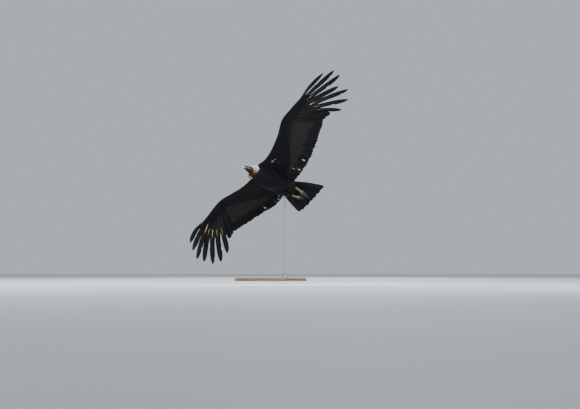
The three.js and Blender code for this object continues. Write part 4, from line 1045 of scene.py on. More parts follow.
def small_coverts(coat, wing, above):
    """Rows of small feathers from the leading edge back over the arm and hand, growing backwards."""
    back = 1.0
    while back < SMALL["end"]:
        share = np.clip(back / SMALL["grown_at"], 0, 1)
        half_width, spacing = blend(*SMALL["half_width"], share), blend(*SMALL["spacing"], share)
        length = blend(*SMALL["length"], share**0.7)
        y = np.arange(64 + rng.random() * half_width, ARM_END - 6, half_width * 1.05)
        y = y + rng.uniform(-0.3, 0.3, len(y)) * half_width
        y = y[covert_depth(wing, y) > back]
        scatter = rng.uniform(-0.25, 0.25, len(y)) * spacing * min(1, back / 12)
        x = smooth(wing["lead"], y)[..., 0] - back - scatter
        length = length * (blend(1, 1.15, step(700, ARM_END, y)) * rng.uniform(0.88, 1.12, len(y)))
        # At the very edge they lie slanting outwards along it, which keeps it smooth
        lean = lie(wing, y) + 20 * (1 - share) ** 3 + rng.uniform(-6, 6, len(y))
        lift = (-1.6, blend(0.2, 2.4, share))
        lay_on_wing(coat, wing, small_vane, x, y, length, half_width, above, lean, lift, small_marks(wing))
        back += spacing


def covert_row(coat, wing, above, start, end, half_width, lift, marks, count):
    """One tier along the secondaries, from start to end as shares of their length."""
    roots, tips = secondary_lines(wing, count)
    from_x, from_y = (roots + (tips - roots) * start).T
    end = np.broadcast_to(end(tips[:, 1]) if callable(end) else end, count)[:, None]
    to_x, to_y = (roots + (tips - roots) * (end + rng.uniform(-0.008, 0.008, (count, 1)))).T
    length = np.hypot(to_x - from_x, to_y - from_y)
    lean = np.degrees(np.arctan2(to_y - from_y, from_x - to_x)) + rng.uniform(-1, 1, count)
    lay_on_wing(coat, wing, covert_vane, from_x, from_y, length, half_width, above, lean, lift, marks)


def hand_coverts(coat, wing, above):
    """Coverts over the bases of the primaries, in three tiers."""
    for tier, (reach, half_width, lift) in enumerate(HAND_TIERS):
        for k in np.arange(0, HAND_TO, HAND_STEP):
            path = primary_path(wing, int(k))
            start, end = path(np.array([0.0, reach / wing["reach"][int(k)]]))
            along = (k - int(k)) * PRIMARY["spacing"]
            x, y = np.array([start[0] - 4 * tier]), np.array([start[1] + along])
            lean = np.degrees(np.arctan2(end[1] - start[1], start[0] - end[0]))
            size = reach * blend(1, 0.7, k / HAND_TO)
            lay_on_wing(coat, wing, covert_vane, x, y, size, half_width, above, lean, lift, black_marks)


def alula(coat, wing):
    """Three feathers of the thumb, folded flat along the front of the hand."""
    wrist = wing["wrist"]
    for k, (length, half_width) in enumerate(THUMB):
        y = np.array([wrist[1] + 14.0 - 5 * k])
        x = smooth(wing["lead"], y)[..., 0] - 16 - 7 * k
        lean, lift = 80.0 - 7 * k, (3, 6 + 2 * k)
        lay_on_wing(coat, wing, covert_vane, x, y, length, half_width, True, lean, lift, black_marks)


def scapulars(coat, wing):
    """Feathers of the shoulder that close the gap between wing and back, rearmost row first."""
    for root_x, length, half_width in SCAPULAR_ROWS:
        y = np.arange(34, 172, half_width * 0.95) + rng.uniform(-3, 3)
        lean = np.interp(y, [30, 170], [-6, 4]) + rng.uniform(-4, 4, len(y))
        x = np.full(len(y), float(root_x)) + rng.uniform(-8, 8, len(y))
        lay_on_wing(coat, wing, covert_vane, x, y, length, half_width, True, lean, (-1, 6), black_marks)


def lower_to(y):
    return np.interp(y, *zip(*LOWER_TO))


for wing in (LEFT_WING, RIGHT_WING):
    coat = new_coat()
    covert_row(coat, wing, True, 0.06, UPPER_TO, 22, (0, 5), covert_marks(wing), 32)
    covert_row(coat, wing, True, 0.0, 0.26, 16, (2, 8), black_marks, 40)
    hand_coverts(coat, wing, True)
    small_coverts(coat, wing, True)
    scapulars(coat, wing)
    alula(coat, wing)
    coat_piece(f"coverts_upper_{wing['name']}", coat, (coat_finish,), "plumage")
    coat = new_coat()
    covert_row(coat, wing, False, 0.06, lower_to, 20, (0, 5), black_marks, 32)
    covert_row(coat, wing, False, 0.0, lambda y: 0.6 * lower_to(y), 15, (2, 8), black_marks, 42)
    hand_coverts(coat, wing, False)
    small_coverts(coat, wing, False)
    coat_piece(f"coverts_lower_{wing['name']}", coat, (coat_finish,), "plumage")

# %% [markdown]
# Contour feathers of the trunk and thighs. They are small at the breast and grow towards the rump.
# Rows run round the body, each turned by a random share of a feather, and all point to the tail.

# %% Coat of the trunk and the thighs
def lay_round(coat, point, start, angle, length, half_width, radius, lift, field):
    """Feathers round a tube: start in millimetres along it, angle round it.

    field is their place on the map for baking: left, bottom, width and height.
    """
    s, t, h = (contour_vane[key][None] for key in ("s", "t", "h"))
    sizes = [np.broadcast_to(value, angle.shape) for value in (start, angle, length, half_width, radius)]
    start, angle, length, half_width, radius = (value[:, None] for value in sizes)
    across, along = t * half_width, s * length
    turn = np.radians(rng.uniform(-9, 9, angle.shape))
    aside = across * np.cos(turn) + along * np.sin(turn)
    back = along * np.cos(turn) - across * np.sin(turn)
    out = blend(lift[0], lift[1], s) + h * 0.6 + (1 - t**2) * 0.04 * half_width * (0.4 + 0.6 * s)
    x, y, z = point(start + back, angle + aside / radius, out)
    left, bottom, wide, tall = field
    root_u = left + angle[:, 0] % (2 * math.pi) / (2 * math.pi) * wide
    root = np.stack([root_u, bottom + start[:, 0] / 700 * tall], 1)
    marks = dict(tone=own_tones(across))
    gather(coat, contour_vane, np.stack([x, y, z], -1), across, along, root, marks, flip=True)


TRUNK_START, TRUNK_LENGTH = 166, 560
# Contour feathers in millimetres at size 1, and their size along the trunk
TRUNK_COAT = dict(spacing=12.5, length=46, half_width=13, lift=(-2.5, 2.4), field=(0, 0, 0.95, 0.5))
TRUNK_SIZES = ([0, 120, 350, 560], [0.6, 1, 1.2, 1.25])
THIGH_COAT = dict(spacing=11, beside=12, length=38, half_width=10, lift=(-2.5, 2))


def on_trunk(along, angle, out):
    return trunk_point(TRUNK_START - along, angle, out)


coat = new_coat()
at = 0.0
while at < TRUNK_LENGTH:
    size = float(np.interp(at, *TRUNK_SIZES))
    half, top, low, _ = smooth(TRUNK, TRUNK_START - at - 10)
    around = int(2 * math.pi * (half + (top + low) / 2) / 2 / (TRUNK_COAT["spacing"] * size) * 0.82)
    angle = (np.arange(around) + rng.uniform(-0.25, 0.25, around) + rng.random()) * 2 * math.pi / around
    start = at + rng.uniform(-3, 3, around)
    length = TRUNK_COAT["length"] * size * rng.uniform(0.85, 1.15, around)
    half_width, radius = TRUNK_COAT["half_width"] * size, (half + low) / 2
    lift, field = TRUNK_COAT["lift"], TRUNK_COAT["field"]
    lay_round(coat, on_trunk, start, angle, length, half_width, radius, lift, field)
    at += TRUNK_COAT["spacing"] * size
coat_piece("coat_trunk", coat, (coat_finish,), "plumage")
coat = new_coat()
for index, leg in enumerate(LEGS.values()):
    thigh_length = float(np.linalg.norm(np.subtract(leg["ankle"], leg["thigh"])))

    def on_thigh(along, angle, out, leg=leg, thigh_length=thigh_length):
        return thigh_point(leg, along / thigh_length, angle, out)

    for at in np.arange(0, thigh_length * 0.93, THIGH_COAT["spacing"]):
        radius = float(smooth(THIGH_ROWS, at / thigh_length)[0])
        around = max(10, int(2 * math.pi * radius / THIGH_COAT["beside"]))
        angle = (np.arange(around) + rng.random()) * 2 * math.pi / around
        length = THIGH_COAT["length"] * rng.uniform(0.85, 1.15, around)
        half_width, lift = THIGH_COAT["half_width"], THIGH_COAT["lift"]
        lay_round(coat, on_thigh, at, angle, length, half_width, radius, lift, (0.5 * index, 0.6, 0.45, 0.3))
coat_piece("coat_thighs", coat, (coat_finish,), "plumage", "thigh_left", "thigh_right")
finish_mesh(skin, (coat_finish,))
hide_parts("torso")

# %% [markdown]
# Tail: twelve broad feathers spread like a fan from the rump, the middle pair on top. Their
# coverts lie in tiers above and below and hide where they are rooted.

# %% Tail feathers and their coverts
# Sizes in pairs are for the left half, which is spread wider, and for the right half
TAIL = dict(
    pairs=6, root_x=-335, root_step=(18, 14), tip_x=-731, corner_x=(-732, -672), corner_y=(214, 205),
    yaw=1.4, outer=20, inner=46, tilt=5, camber=2.5, quill=2.8, height=4, length=400,
    ragged=(4, -7, 5, -4, 7, 3),
)
# Tiers of coverts: height over the vanes, start and end as shares of the vanes below
TAIL_TIERS = (
    (6, 0.04, 0.4), (9, -0.02, 0.28), (12, -0.1, 0.17),
    (-6, 0.04, 0.44), (-9, -0.02, 0.32), (-12, -0.1, 0.2),
)
TAIL_COVERT = dict(outer=14, inner=19, small=0.78)


def tail_path(side, k):
    """Shaft of one tail feather, k counted outwards, with y outwards."""
    half = 0 if side > 0 else 1
    lean = math.radians(TAIL["yaw"]) * side
    root_y = (k + 0.5) * TAIL["root_step"][half]
    spread = (k + 0.4) / (TAIL["pairs"] - 0.6)
    tip_y = TAIL["corner_y"][half] * spread
    tip_x = blend(TAIL["tip_x"], TAIL["corner_x"][half], spread**2) + side * TAIL["ragged"][k]
    drop = TAIL["height"] - 4 * k - (0 if side > 0 else 2.2)
    back, aside = tip_x - TAIL["root_x"], tip_y - root_y
    reach_x = back * math.cos(lean) + aside * math.sin(lean)
    reach_y = aside * math.cos(lean) - back * math.sin(lean)

    def path(s):
        x = TAIL["root_x"] + reach_x * s
        y = root_y + reach_y * s + 6 * np.sin(math.pi * s)
        return np.stack([x, y, drop - 10 * s * s], -1)

    return path


def add_tail_vane(coat, shape, path, side, outer, inner, cell, quill_size):
    """Adds one feather of the tail to the coat, with a quill where it has a size."""
    outer, inner = constant(outer), constant(inner)
    points, wide = bend(shape, path, flat_up, outer, inner, TAIL["tilt"], TAIL["camber"])
    tone = dict(tone=np.full((1, len(wide)), rng.random()))
    root, mirrored, flip = np.array([cell]), (1, side, 1), side < 0
    length = shape["s"] * TAIL["length"]
    gather(coat, shape, (points * mirrored)[None], wide, length, root, tone, LONG_PATCH, 0, flip)
    if quill_size:
        shaft = quill_points(path, quill_size) * mirrored
        gather(coat, quill, shaft[None], quill["t"], quill["s"], root, dict(white=0.0), LONG_PATCH, 1, flip)


coat = new_coat()
for side in (1, -1):
    for k in range(TAIL["pairs"]):
        path = tail_path(side, k)
        column = 0.02 + 0.026 * (k + (6 if side < 0 else 0))
        vane = flight_vanes[k % 3]
        add_tail_vane(coat, vane, path, side, TAIL["outer"], TAIL["inner"], (column, 0.02), TAIL["quill"])
        near = tail_path(side, min(k + 1, TAIL["pairs"] - 1))
        for tier, (lift, start, end) in enumerate(TAIL_TIERS):
            for between in (0, 0.33, 0.67):
                end = end + rng.uniform(-0.02, 0.02)

                def raised(s, path=path, near=near, between=between, lift=lift, start=start, end=end):
                    share = start + (end - start) * s
                    out = np.stack([0 * s, 0 * s, lift * (0.55 + 0.45 * s)], -1)
                    return blend(path(share), near(share), between) + out

                cell = (column + 0.008 * between, 0.18 + 0.13 * tier)
                size = TAIL_COVERT["small"] if abs(lift) > 9 else 1
                outer, inner = TAIL_COVERT["outer"] * size, TAIL_COVERT["inner"] * size
                add_tail_vane(coat, covert_vane, raised, side, outer, inner, cell, 0)
coat_piece("tail_feathers", coat, (flight_finish, quill_finish), "plumage", "tail")

# %% [markdown]
# Head and neck are bare, wrinkled skin. The head is rolled up in a frame of its own, turned to its
# place and fused with the neck. Then every point of the skin is moved along its normal: folds
# across the neck, warts, lids, the ear, the nostril and the line of the mouth.

# %% Head and neck in one skin
HEAD_PLACE, HEAD_TURN = (256, -4, 2), [math.radians(angle) for angle in (-24, 3, 1)]
HEAD_TO_BIRD = Matrix.Translation(HEAD_PLACE) @ Euler(HEAD_TURN, "XYZ").to_matrix().to_4x4()
# Head: x, half width, height above the axis, depth below it, height of the axis
HEAD = [
    (-44, 32, 27, 32, 0), (-26, 37, 34, 36, 0), (-6, 37, 35, 35, 1), (12, 32.5, 31, 30, 1),
    (28, 27.5, 24, 26, 0), (42, 20, 18, 22, -1), (56, 15, 15, 17, -2), (64, 13.5, 14, 15, -2),
]
# Neck: x in the bird's frame, half width, half height above and below, height and y of the axis
NECK = [
    (150, 64, 58, 58, 0, -4), (166, 66, 56, 56, 0, -9), (180, 61, 51, 51, -2, -14),
    (194, 62, 48, 48, -4, -24), (207, 52, 42, 42, -3, -20), (220, 38, 35, 35, -1, -10),
    (240, 30, 29, 29, 2, -4),
]
EYE = dict(x=10, y=24.6, z=9, radius=9)
EAR, NOSTRIL, MOUTH = (-16, -2), (50, 4), dict(z=-9, corner=8)


def mesh_points(piece, kind="co"):
    flat = np.empty(len(piece.data.vertices) * 3)
    piece.data.vertices.foreach_get(kind, flat)
    return flat.reshape(-1, 3)


def placed(points, matrix):
    """Points turned and moved by a matrix."""
    table = np.array(matrix)
    return points @ table[:3, :3].T + table[:3, 3]


def lofted(rows, start, end):
    """Shape of a tube whose rows give half width, height above and below, and place of the axis."""

    def shape(s, a):
        x = blend(start, end, s)
        half, top, low, axis, *side = np.moveaxis(smooth(rows, x), -1, 0)
        y = (side[0] if side else 0) + np.cos(a) * half
        return x, y, axis + np.sin(a) * np.where(np.sin(a) > 0, top, low)

    return shape


def cells(points, size):
    """Height between 0 and 1 of rounded warts about size millimetres wide."""
    near = np.array([noise.voronoi(Vector(p) / size)[0][:2] for p in points])
    return np.clip(1.4 * (near[:, 1] - near[:, 0]), 0, 1)


def roughly(points, size):
    """Soft noise between -1 and 1 with lumps about size millimetres wide."""
    return np.array([noise.noise(Vector(p) / size) for p in points])


def eye_distance(own):
    """Distance from the middle of the eye as seen from the side, stretched to the oval of its lids."""
    return np.hypot(own[:, 0] - EYE["x"], (own[:, 2] - EYE["z"]) * 1.22)


def head_relief(own, bird):
    """How far each point of the skin moves outwards, from its place in the head and in the bird."""
    x, y, z = own.T
    beside = step(8, 16, np.abs(y))
    on_head = step(-42, -30, x)
    eye = eye_distance(own)
    lids = 1.7 * hump(eye, 8.1, 1.5) - 0.8 * hump(eye, 11, 1.1) + 0.9 * hump(eye, 13.4, 1.4)
    brow = 1.5 * hump(x, 12, 13) * hump(z, 19.5, 3)
    ear = np.hypot((x - EAR[0]) * 0.9, z - EAR[1])
    ears = 1.6 * hump(ear, 5.6, 1.5) - 4.5 * (1 - step(2.4, 4.6, ear))
    nostril = np.hypot((x - NOSTRIL[0]) / 4.6, (z - NOSTRIL[1]) / 2)
    nostrils = 0.7 * hump(nostril, 1.5, 0.4) - 3.6 * (1 - step(0.55, 1.15, nostril))
    lip_height = MOUTH["z"] - 3 * hump(x, MOUTH["corner"], 5)
    lips = step(MOUTH["corner"] - 3, MOUTH["corner"] + 3, x)
    mouth = lips * (0.6 * hump(z, lip_height + 2.6, 1.6) + 0.6 * hump(z, lip_height - 2.6, 1.6))
    mouth = mouth - lips * 2.2 * hump(z, lip_height, 0.9)
    wobble = roughly(bird, 26)
    back = 1 - step(-18, 4, x)
    waves = np.abs(np.sin(math.pi * (bird[:, 0] + 0.25 * bird[:, 2] + 9 * wobble) / 9.5))
    folds = back * (2.6 * waves**0.45 - 2.0) * step(176, 196, bird[:, 0])
    throat = back * 2.2 * np.abs(np.sin((np.arctan2(y, -z) * 5 + wobble * 2))) * step(8, 22, -z)
    skin_cells = cells(bird * (1, 1.3, 1.3), 5.2)
    warts = (0.2 + 0.8 * back) * 1.3 * (skin_cells - 0.35) * (0.5 + 0.5 * beside)
    fine = 0.35 * roughly(bird, 2.6)
    calm = step(10, 15, eye) * step(7, 11, ear) * (1 - step(48, 55, x))
    rim = 0.5 * hump(x, 59, 1.6) - 0.5 * step(60, 63, x)
    wrinkles = calm * (folds + throat + warts * on_head + fine)
    return beside * (lids + brow + ears + nostrils) + mouth + rim + wrinkles


def head_marks(own):
    """Pale pink along the mouth, tan on the cheek behind it, and the streaks in the tan."""
    x, y, z = own.T
    side = step(6, 14, np.abs(y))
    streaks = 0.5 + 0.5 * roughly(own, 7)
    pink = side * step(4, 14, x) * step(-16, -9, z) * (1 - step(0, 5, z))
    tan = side * hump(x, -12, 17) * hump(z, -7, 8) * (0.6 + 0.4 * streaks)
    return dict(pink=np.clip(pink, 0, 1), tan=np.clip(tan * 1.25, 0, 1), crease=streaks)


def set_marks(piece, marks):
    for key, values in marks.items():
        mark = piece.data.attributes.new(key, "FLOAT", "POINT")
        mark.data.foreach_set("value", np.asarray(values, float))


head_part = tube("head", 60, 72, lofted(HEAD, -44, 62.5))
head_part.data.transform(HEAD_TO_BIRD)
neck_part = tube("neck", 50, 72, lofted(NECK, 151, 240))
head_skin = fused("head_skin", [head_part, neck_part], 1.15)
points = mesh_points(head_skin)
own = placed(points, HEAD_TO_BIRD.inverted())
relief = head_relief(own, points)
moved = points + mesh_points(head_skin, "normal") * relief[:, None]
# Inside the lids the skin turns in behind the eyeball
sunk = placed(moved, HEAD_TO_BIRD.inverted())
inner = blend(EYE["y"] - 2, np.abs(sunk[:, 1]), step(5.9, 7.1, eye_distance(own)))
sunk[:, 1] = np.where(np.abs(own[:, 1]) > 14, np.sign(own[:, 1]) * inner, sunk[:, 1])
moved = placed(sunk, HEAD_TO_BIRD)
head_skin.data.vertices.foreach_set("co", moved.ravel())
# fold carries the relief, which the finish turns into painted shade in the folds
set_marks(head_skin, dict(head_marks(own), fold=(relief + 1.8) / 2.4))

bare_skin, tree, shader = material("bare wrinkled skin")
pink, tan, crease, fold = (attribute(tree, key) for key in ("pink", "tan", "crease", "fold"))
pores = node(tree, "ShaderNodeTexVoronoi", {"Scale": 1000 / 2.2}, feature="DISTANCE_TO_EDGE")
pore_height = ramp(tree, pores.outputs["Distance"], 0.02, 0.28)
patches = cloudy(tree, 1000 / 7, 5)
dark = mix(tree, ramp(tree, patches, 0.35, 0.7), "0d0a0b", "1d1616")
# Painted shade: the skin darkens to near black down in its folds
dark = mix(tree, ramp(tree, fold, 0.1, 0.9), "0a0809", dark)
colour = mix(tree, pink, dark, mix(tree, patches, "8a7272", "c0a9a6"))
colour = mix(tree, tan, colour, mix(tree, crease, "8d6a3c", "c2a066"))
colour = mix(tree, pore_height, mix(tree, patches, "0c0a0a", "1a1413"), colour)
paint(tree, shader, colour, {"Roughness": 0.6, "Specular IOR Level": 0.25})
bumped(tree, shader, pore_height, 0.0004, 0.6)
finish_mesh(head_skin, (bare_skin,))
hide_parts("head", "neck")
print("head and neck", len(head_skin.data.polygons), "faces")

# %% [markdown]
# The comb is a fleshy crest of many lobes, with a row of them along its top and folds on both
# sides. The beak is built of two horn sheaths; the upper one ends in a hook over the lower. Both
# keep the line of the mouth.

# %% Comb
COMB = dict(x=35, z=33, half_length=33, half_width=7.5, half_height=21, lobes=11, folds=14, crease=4.4)


def ball(name, at, radii, rings=12):
    """Closed ball drawn out to three radii."""
    deselect()
    bpy.ops.mesh.primitive_uv_sphere_add(segments=rings * 2, ring_count=rings, radius=1)
    made = bpy.context.object
    made.name = name
    made.data.transform(Matrix.Translation(at) @ Matrix.Diagonal((*radii, 1)))
    return made


def comb_lobes():
    radii = (COMB["half_length"], COMB["half_width"], COMB["half_height"])
    parts = [ball("comb", (COMB["x"], 0, COMB["z"]), radii, 20)]
    for turn in np.linspace(-0.12, math.pi * 0.95, COMB["lobes"]):
        size = rng.uniform(5.2, 8.6)
        x = COMB["x"] + math.cos(turn) * (COMB["half_length"] - 5)
        z = COMB["z"] + math.sin(turn) * (COMB["half_height"] - 4.5)
        parts.append(ball("lobe", (x, rng.uniform(-2.2, 2.2), z), (size, size * 0.78, size)))
    for _ in range(COMB["folds"]):
        turn, inward = rng.uniform(0, math.pi), rng.uniform(0.2, 0.85)
        x = COMB["x"] + math.cos(turn) * COMB["half_length"] * inward
        z = COMB["z"] + math.sin(turn) * COMB["half_height"] * inward
        size = rng.uniform(4, 7)
        y = rng.choice((-1, 1)) * rng.uniform(3.5, 5.5)
        parts.append(ball("fold", (x, y, z), (size * 1.3, size * 0.7, size)))
    return parts


comb = fused("comb_flesh", comb_lobes(), 0.9)
points = mesh_points(comb)
bent = points + np.stack([3 * roughly(points + shift, 9) for shift in (0, 40, 80)], 1)
creases = cells(bent, COMB["crease"])
relief = 0.5 * (creases - 0.4) + 1.1 * roughly(points, 7) + 0.35 * roughly(points, 2)
points = points + mesh_points(comb, "normal") * relief[:, None]
comb.data.vertices.foreach_set("co", points.ravel())
set_marks(comb, dict(crease=creases, foot=1 - step(27, 38, points[:, 2])))
sunlit_comb_skin, tree, shader = material("comb painted sunlit")
speckle = cloudy(tree, 1000 / 3, 5)
raised = ramp(tree, attribute(tree, "crease"), 0.0, 0.35)
# The peach is painted sunlight, and the darker peach down in the creases is painted shade
colour = mix(tree, raised, "cf9b73", mix(tree, speckle, "e3b486", "f3d3a8"))
# Darker grey brown towards the foot, below the painted sunlight
colour = mix(tree, attribute(tree, "foot"), colour, mix(tree, speckle, "2a1f1c", "5f4a42"))
paint(tree, shader, colour, {"Roughness": 0.5})
bumped(tree, shader, speckle, 0.0003, 0.5)
comb.data.transform(HEAD_TO_BIRD)
finish_mesh(comb, (sunlit_comb_skin,))
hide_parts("comb")
print("comb", len(comb.data.polygons), "faces")

# %% Beak
# Upper sheath by ring: x, half width, half height, height of its axis
UPPER = [
    (0, 54, 12.6, 13.4, 0), (1, 67, 12.6, 14.6, -1), (2, 80, 10.6, 14, -3), (3, 89.5, 8, 11.6, -7),
    (4, 96.4, 5.4, 8.4, -13), (5, 99.4, 2.7, 4.6, -19), (6, 99.6, 0.7, 1.2, -25),
]
# Lower sheath by ring: x, half width, height of its axis, half height
LOWER = [
    (0, 54, 11, -13.4, 3.4), (1, 67, 10.6, -14.4, 4.2), (2, 80, 8.2, -14.4, 3.6), (3, 88, 4.8, -14, 2.8),
    (4, 92.6, 1, -13.6, 1),
]


def upper_shape(s, a):
    x, half, tall, z = np.moveaxis(smooth(UPPER, s * 6), -1, 0)
    height = z + np.sin(a) * tall
    hooked = step(3, 3.6, s * 6)
    edge = np.maximum(height, MOUTH["z"] + 0.6)
    narrow = 1 - 0.22 * np.clip(np.sin(a), 0, 1) * (1 - hooked)
    return x + np.sin(a) * 3 * hooked, np.cos(a) * half * narrow, blend(edge, height, hooked)


def lower_shape(s, a):
    x, half, z, tall = np.moveaxis(smooth(LOWER, s * 4), -1, 0)
    return x, np.cos(a) * half, np.minimum(z + np.sin(a) * tall, MOUTH["z"] - 0.7)


horn, tree, shader = material("beak horn")
place = node(tree, "ShaderNodeTexCoord").outputs["Object"]
grain = cloudy(tree, 1 / (4 * MM), 6, place, Distortion=0.6)
along, under, ridge = (attribute(tree, key) for key in ("along", "under", "ridge"))
ivory = mix(tree, grain, "c9bab0", "e6dbd4")
dusk = mix(tree, grain, "2b211d", "6b5548")
colour = mix(tree, ramp(tree, along, 0.22, 0.02), mix(tree, ridge, ivory, dusk), dusk)
# The lower sheath is painted a darker brown: its own horn with painted shade under the upper sheath
colour = mix(tree, under, colour, mix(tree, grain, "3a280e", "5d471f"))
paint(tree, shader, colour, {"Roughness": 0.34, "Coat Weight": 0.25})
bumped(tree, shader, grain, 0.00025, 0.5)
for name, shape, under_share in (("upper", upper_shape, 0.0), ("lower", lower_shape, 1.0)):
    sheath = tube(f"horn_{name}", 60, 40, shape)
    points = mesh_points(sheath)
    points = points + mesh_points(sheath, "normal") * (0.22 * roughly(points, 5))[:, None]
    sheath.data.vertices.foreach_set("co", points.ravel())
    ridge_share = step(0, 6, points[:, 2]) * (1 - step(76, 90, points[:, 0]))
    marks = dict(along=(points[:, 0] - 58) / 42, under=np.full(len(points), under_share), ridge=ridge_share)
    set_marks(sheath, marks)
    sheath.data.transform(HEAD_TO_BIRD)
    finish_mesh(sheath, (horn,))
    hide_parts(f"beak_{name}")
print("beak of two horn sheaths")

# %% [markdown]
# Eyes: one ball each, set behind the lids. Pupil, iris and the dark rim are told apart by the
# angle from the line of sight, and a clear coat gives them their wet shine.

# %% Eyes
eye_finish, tree, shader = material("wet eye")
turn = attribute(tree, "turn")
rays = cloudy(tree, 1000 / 1.2, 4)
iris = mix(tree, rays, "3d2113", "7a4a27")
colour = mix(tree, ramp(tree, turn, 0.3, 0.36), "050404", iris)
colour = mix(tree, ramp(tree, turn, 0.66, 0.78), colour, "120c0a")
paint(tree, shader, colour, {"Roughness": 0.08, "Coat Weight": 1, "Coat Roughness": 0.02})
for side, name in ((1, "left"), (-1, "right")):
    eye_ball = ball(f"eyeball_{name}", (0, 0, 0), (EYE["radius"],) * 3, 28)
    sight = np.array((0.22, side * 0.97, 0.05))
    points = mesh_points(eye_ball)
    angle = np.arccos(np.clip(unit(points) @ unit(sight), -1, 1))
    points = points * (1 + 0.05 * hump(angle, 0, 0.45))[:, None] + (EYE["x"], side * EYE["y"], EYE["z"])
    eye_ball.data.vertices.foreach_set("co", points.ravel())
    set_marks(eye_ball, dict(turn=angle))
    eye_ball.data.transform(HEAD_TO_BIRD)
    finish_mesh(eye_ball, (eye_finish,))
    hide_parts(f"eye_{name}")
print("eyes set", EYE["y"], "mm beside the middle")

# %% [markdown]
# Ruff: a collar of white down, open at the throat. Thousands of thin locks stand on a ring round the foot of
# the neck, lean back and curl. Both ends of the collar are painted golden tan: painted shade on the bird's
# left, and painted light shining through the down on its right.

# %% Collar of down
RUFF = dict(x=184.5, radius=59, core=15, longer=1.65, first=-133, last=160, locks=5400, reach=14)
# Where round the thickness of the ruff a lock may stand, in radians from straight outwards
RUFF_ROUND = (-1.35, 3.7)
# Angles over which the down is painted tan: painted shade on the left, and painted light shining through it
# on the right
PAINTED_SHADE_LEFT, PAINTED_GLOW_RIGHT = (125, 139), (66, 84)


def ruff_place(angle, radius, x):
    """Point round the neck, angle counted from the nape to the bird's left.

    On the right it flares out over the swollen side of the neck, and on the left its end is
    drawn forwards under the cheek.
    """
    turned = np.degrees(angle)
    flare = step(40, 90, -turned)
    wide = radius + 12 * flare
    ahead = 8 * flare + 15 * step(100, 140, turned)
    return np.stack([x + ahead, -4 + np.sin(angle) * wide, np.cos(angle) * wide * 0.94], -1)


def ruff_coat(low, high):
    """Down of the ruff between two angles in degrees."""
    coat = new_coat()
    number = RUFF["locks"]
    first, last = math.radians(RUFF["first"]), math.radians(RUFF["last"])
    angle = np.radians(rng.uniform(low, high, number))
    turn = rng.uniform(*RUFF_ROUND, number)
    near_end = np.minimum(angle - first, last - angle)
    edge = 0.5 + 0.5 * step(0, 0.4, near_end)
    core = RUFF["core"] * rng.uniform(0.5, 0.9, number) * edge
    foot_x = RUFF["x"] + np.sin(turn) * core * RUFF["longer"]
    foot = ruff_place(angle, RUFF["radius"] - 3 + np.cos(turn) * core, foot_x)
    away = np.stack([0 * angle, np.sin(angle), np.cos(angle)], -1)
    along = np.stack([0 * angle, np.cos(angle), -np.sin(angle)], -1)
    forward = np.array([1.0, 0, 0])
    run = away * (np.cos(turn) * 0.8 + 0.4)[:, None] + forward * (np.sin(turn) * 0.8 - 0.05)[:, None]
    # Locks come in loose tufts that share a direction
    tuft = np.sin(angle * 23 + 2 * np.sin(turn * 3)) * 0.3 + np.sin(turn * 7 + angle * 9) * 0.18
    sideways = tuft[:, None] + rng.normal(0, 0.18, (number, 1))
    run = unit(run + along * sideways + forward * rng.normal(0, 0.16, (number, 1)))
    curl = -forward * rng.uniform(0, 0.5, (number, 1)) + along * rng.normal(0, 0.35, (number, 1))
    length = RUFF["reach"] * rng.uniform(0.6, 1.2, number) * edge
    width = rng.uniform(0.55, 1.15, number)
    across = unit(np.cross(run, along * 0.4 + rng.normal(0, 0.5, (number, 3)) + forward))
    s, t, h = (down_lock[key][None, :, None] for key in ("s", "t", "h"))
    back = np.cross(across, run)
    line = foot[:, None] + (run[:, None] * s + curl[:, None] * s**2 * 0.5) * length[:, None, None]
    # Each lock winds a little as it goes, as down does
    wound = rng.uniform(0, 2 * math.pi, (number, 1, 1)) + 5.5 * s
    line = line + (across[:, None] * np.sin(wound) + back[:, None] * np.cos(wound)) * 1.3 * s
    points = line + (across[:, None] * t + back[:, None] * h * 0.6) * width[:, None, None]
    degrees = np.degrees(angle) + rng.normal(0, 6, number)
    # The brown mark carries painted shade at the left end and painted light shining through the down at the
    # right end
    tan = np.maximum(step(*PAINTED_SHADE_LEFT, degrees), step(*PAINTED_GLOW_RIGHT, -degrees))[:, None]
    ones = np.ones((1, len(down_lock["s"])))
    marks = dict(
        white=(1 - tan * rng.uniform(0.8, 1, (number, 1))) * ones,
        brown=np.clip(tan * rng.uniform(0.5, 1.2, (number, 1)), 0, 1) * ones,
        tone=rng.random((number, 1)) * ones,
    )
    turn_share = (turn - RUFF_ROUND[0]) / (RUFF_ROUND[1] - RUFF_ROUND[0])
    root = np.stack([0.02 + 0.94 * (angle - first) / (last - first), 0.02 + 0.9 * turn_share], 1)
    gather(coat, down_lock, points, t[..., 0] * width[:, None], s[..., 0] * length[:, None], root, marks)
    return coat


thirds = np.linspace(RUFF["first"], RUFF["last"], 4)
coat_piece("ruff_down_right", ruff_coat(*thirds[0:2]), (down_finish,), "white_down", "ruff")
coat_piece("ruff_down_nape", ruff_coat(*thirds[1:3]), (down_finish,), "white_down")
coat_piece("ruff_down_left", ruff_coat(*thirds[2:4]), (down_finish,), "white_down")

# %% [markdown]
# Legs: each shank and its foot are one scaly skin. The toes are rolled up with rings of scutes
# along their upper side and soft pads below, and fused with the foot. The claws are dark horn.

# %% Legs and feet
LEG = dict(tarsus=9.5, toe=7.7)
# Toes: name, sideways start, sideways spread at the end, share of the full length, height
TOES = (
    ("inner", 11, 18, 0.62, -3), ("middle", 0, 0, 1, 0), ("outer", -11, -17, 0.66, -3),
    ("hind", 2, 12, 0.36, -20),
)
CLAW = dict(length=32, radius=5.6, drop=13, sunk=2.5)
# Length of one scute
SCUTE = 6.0


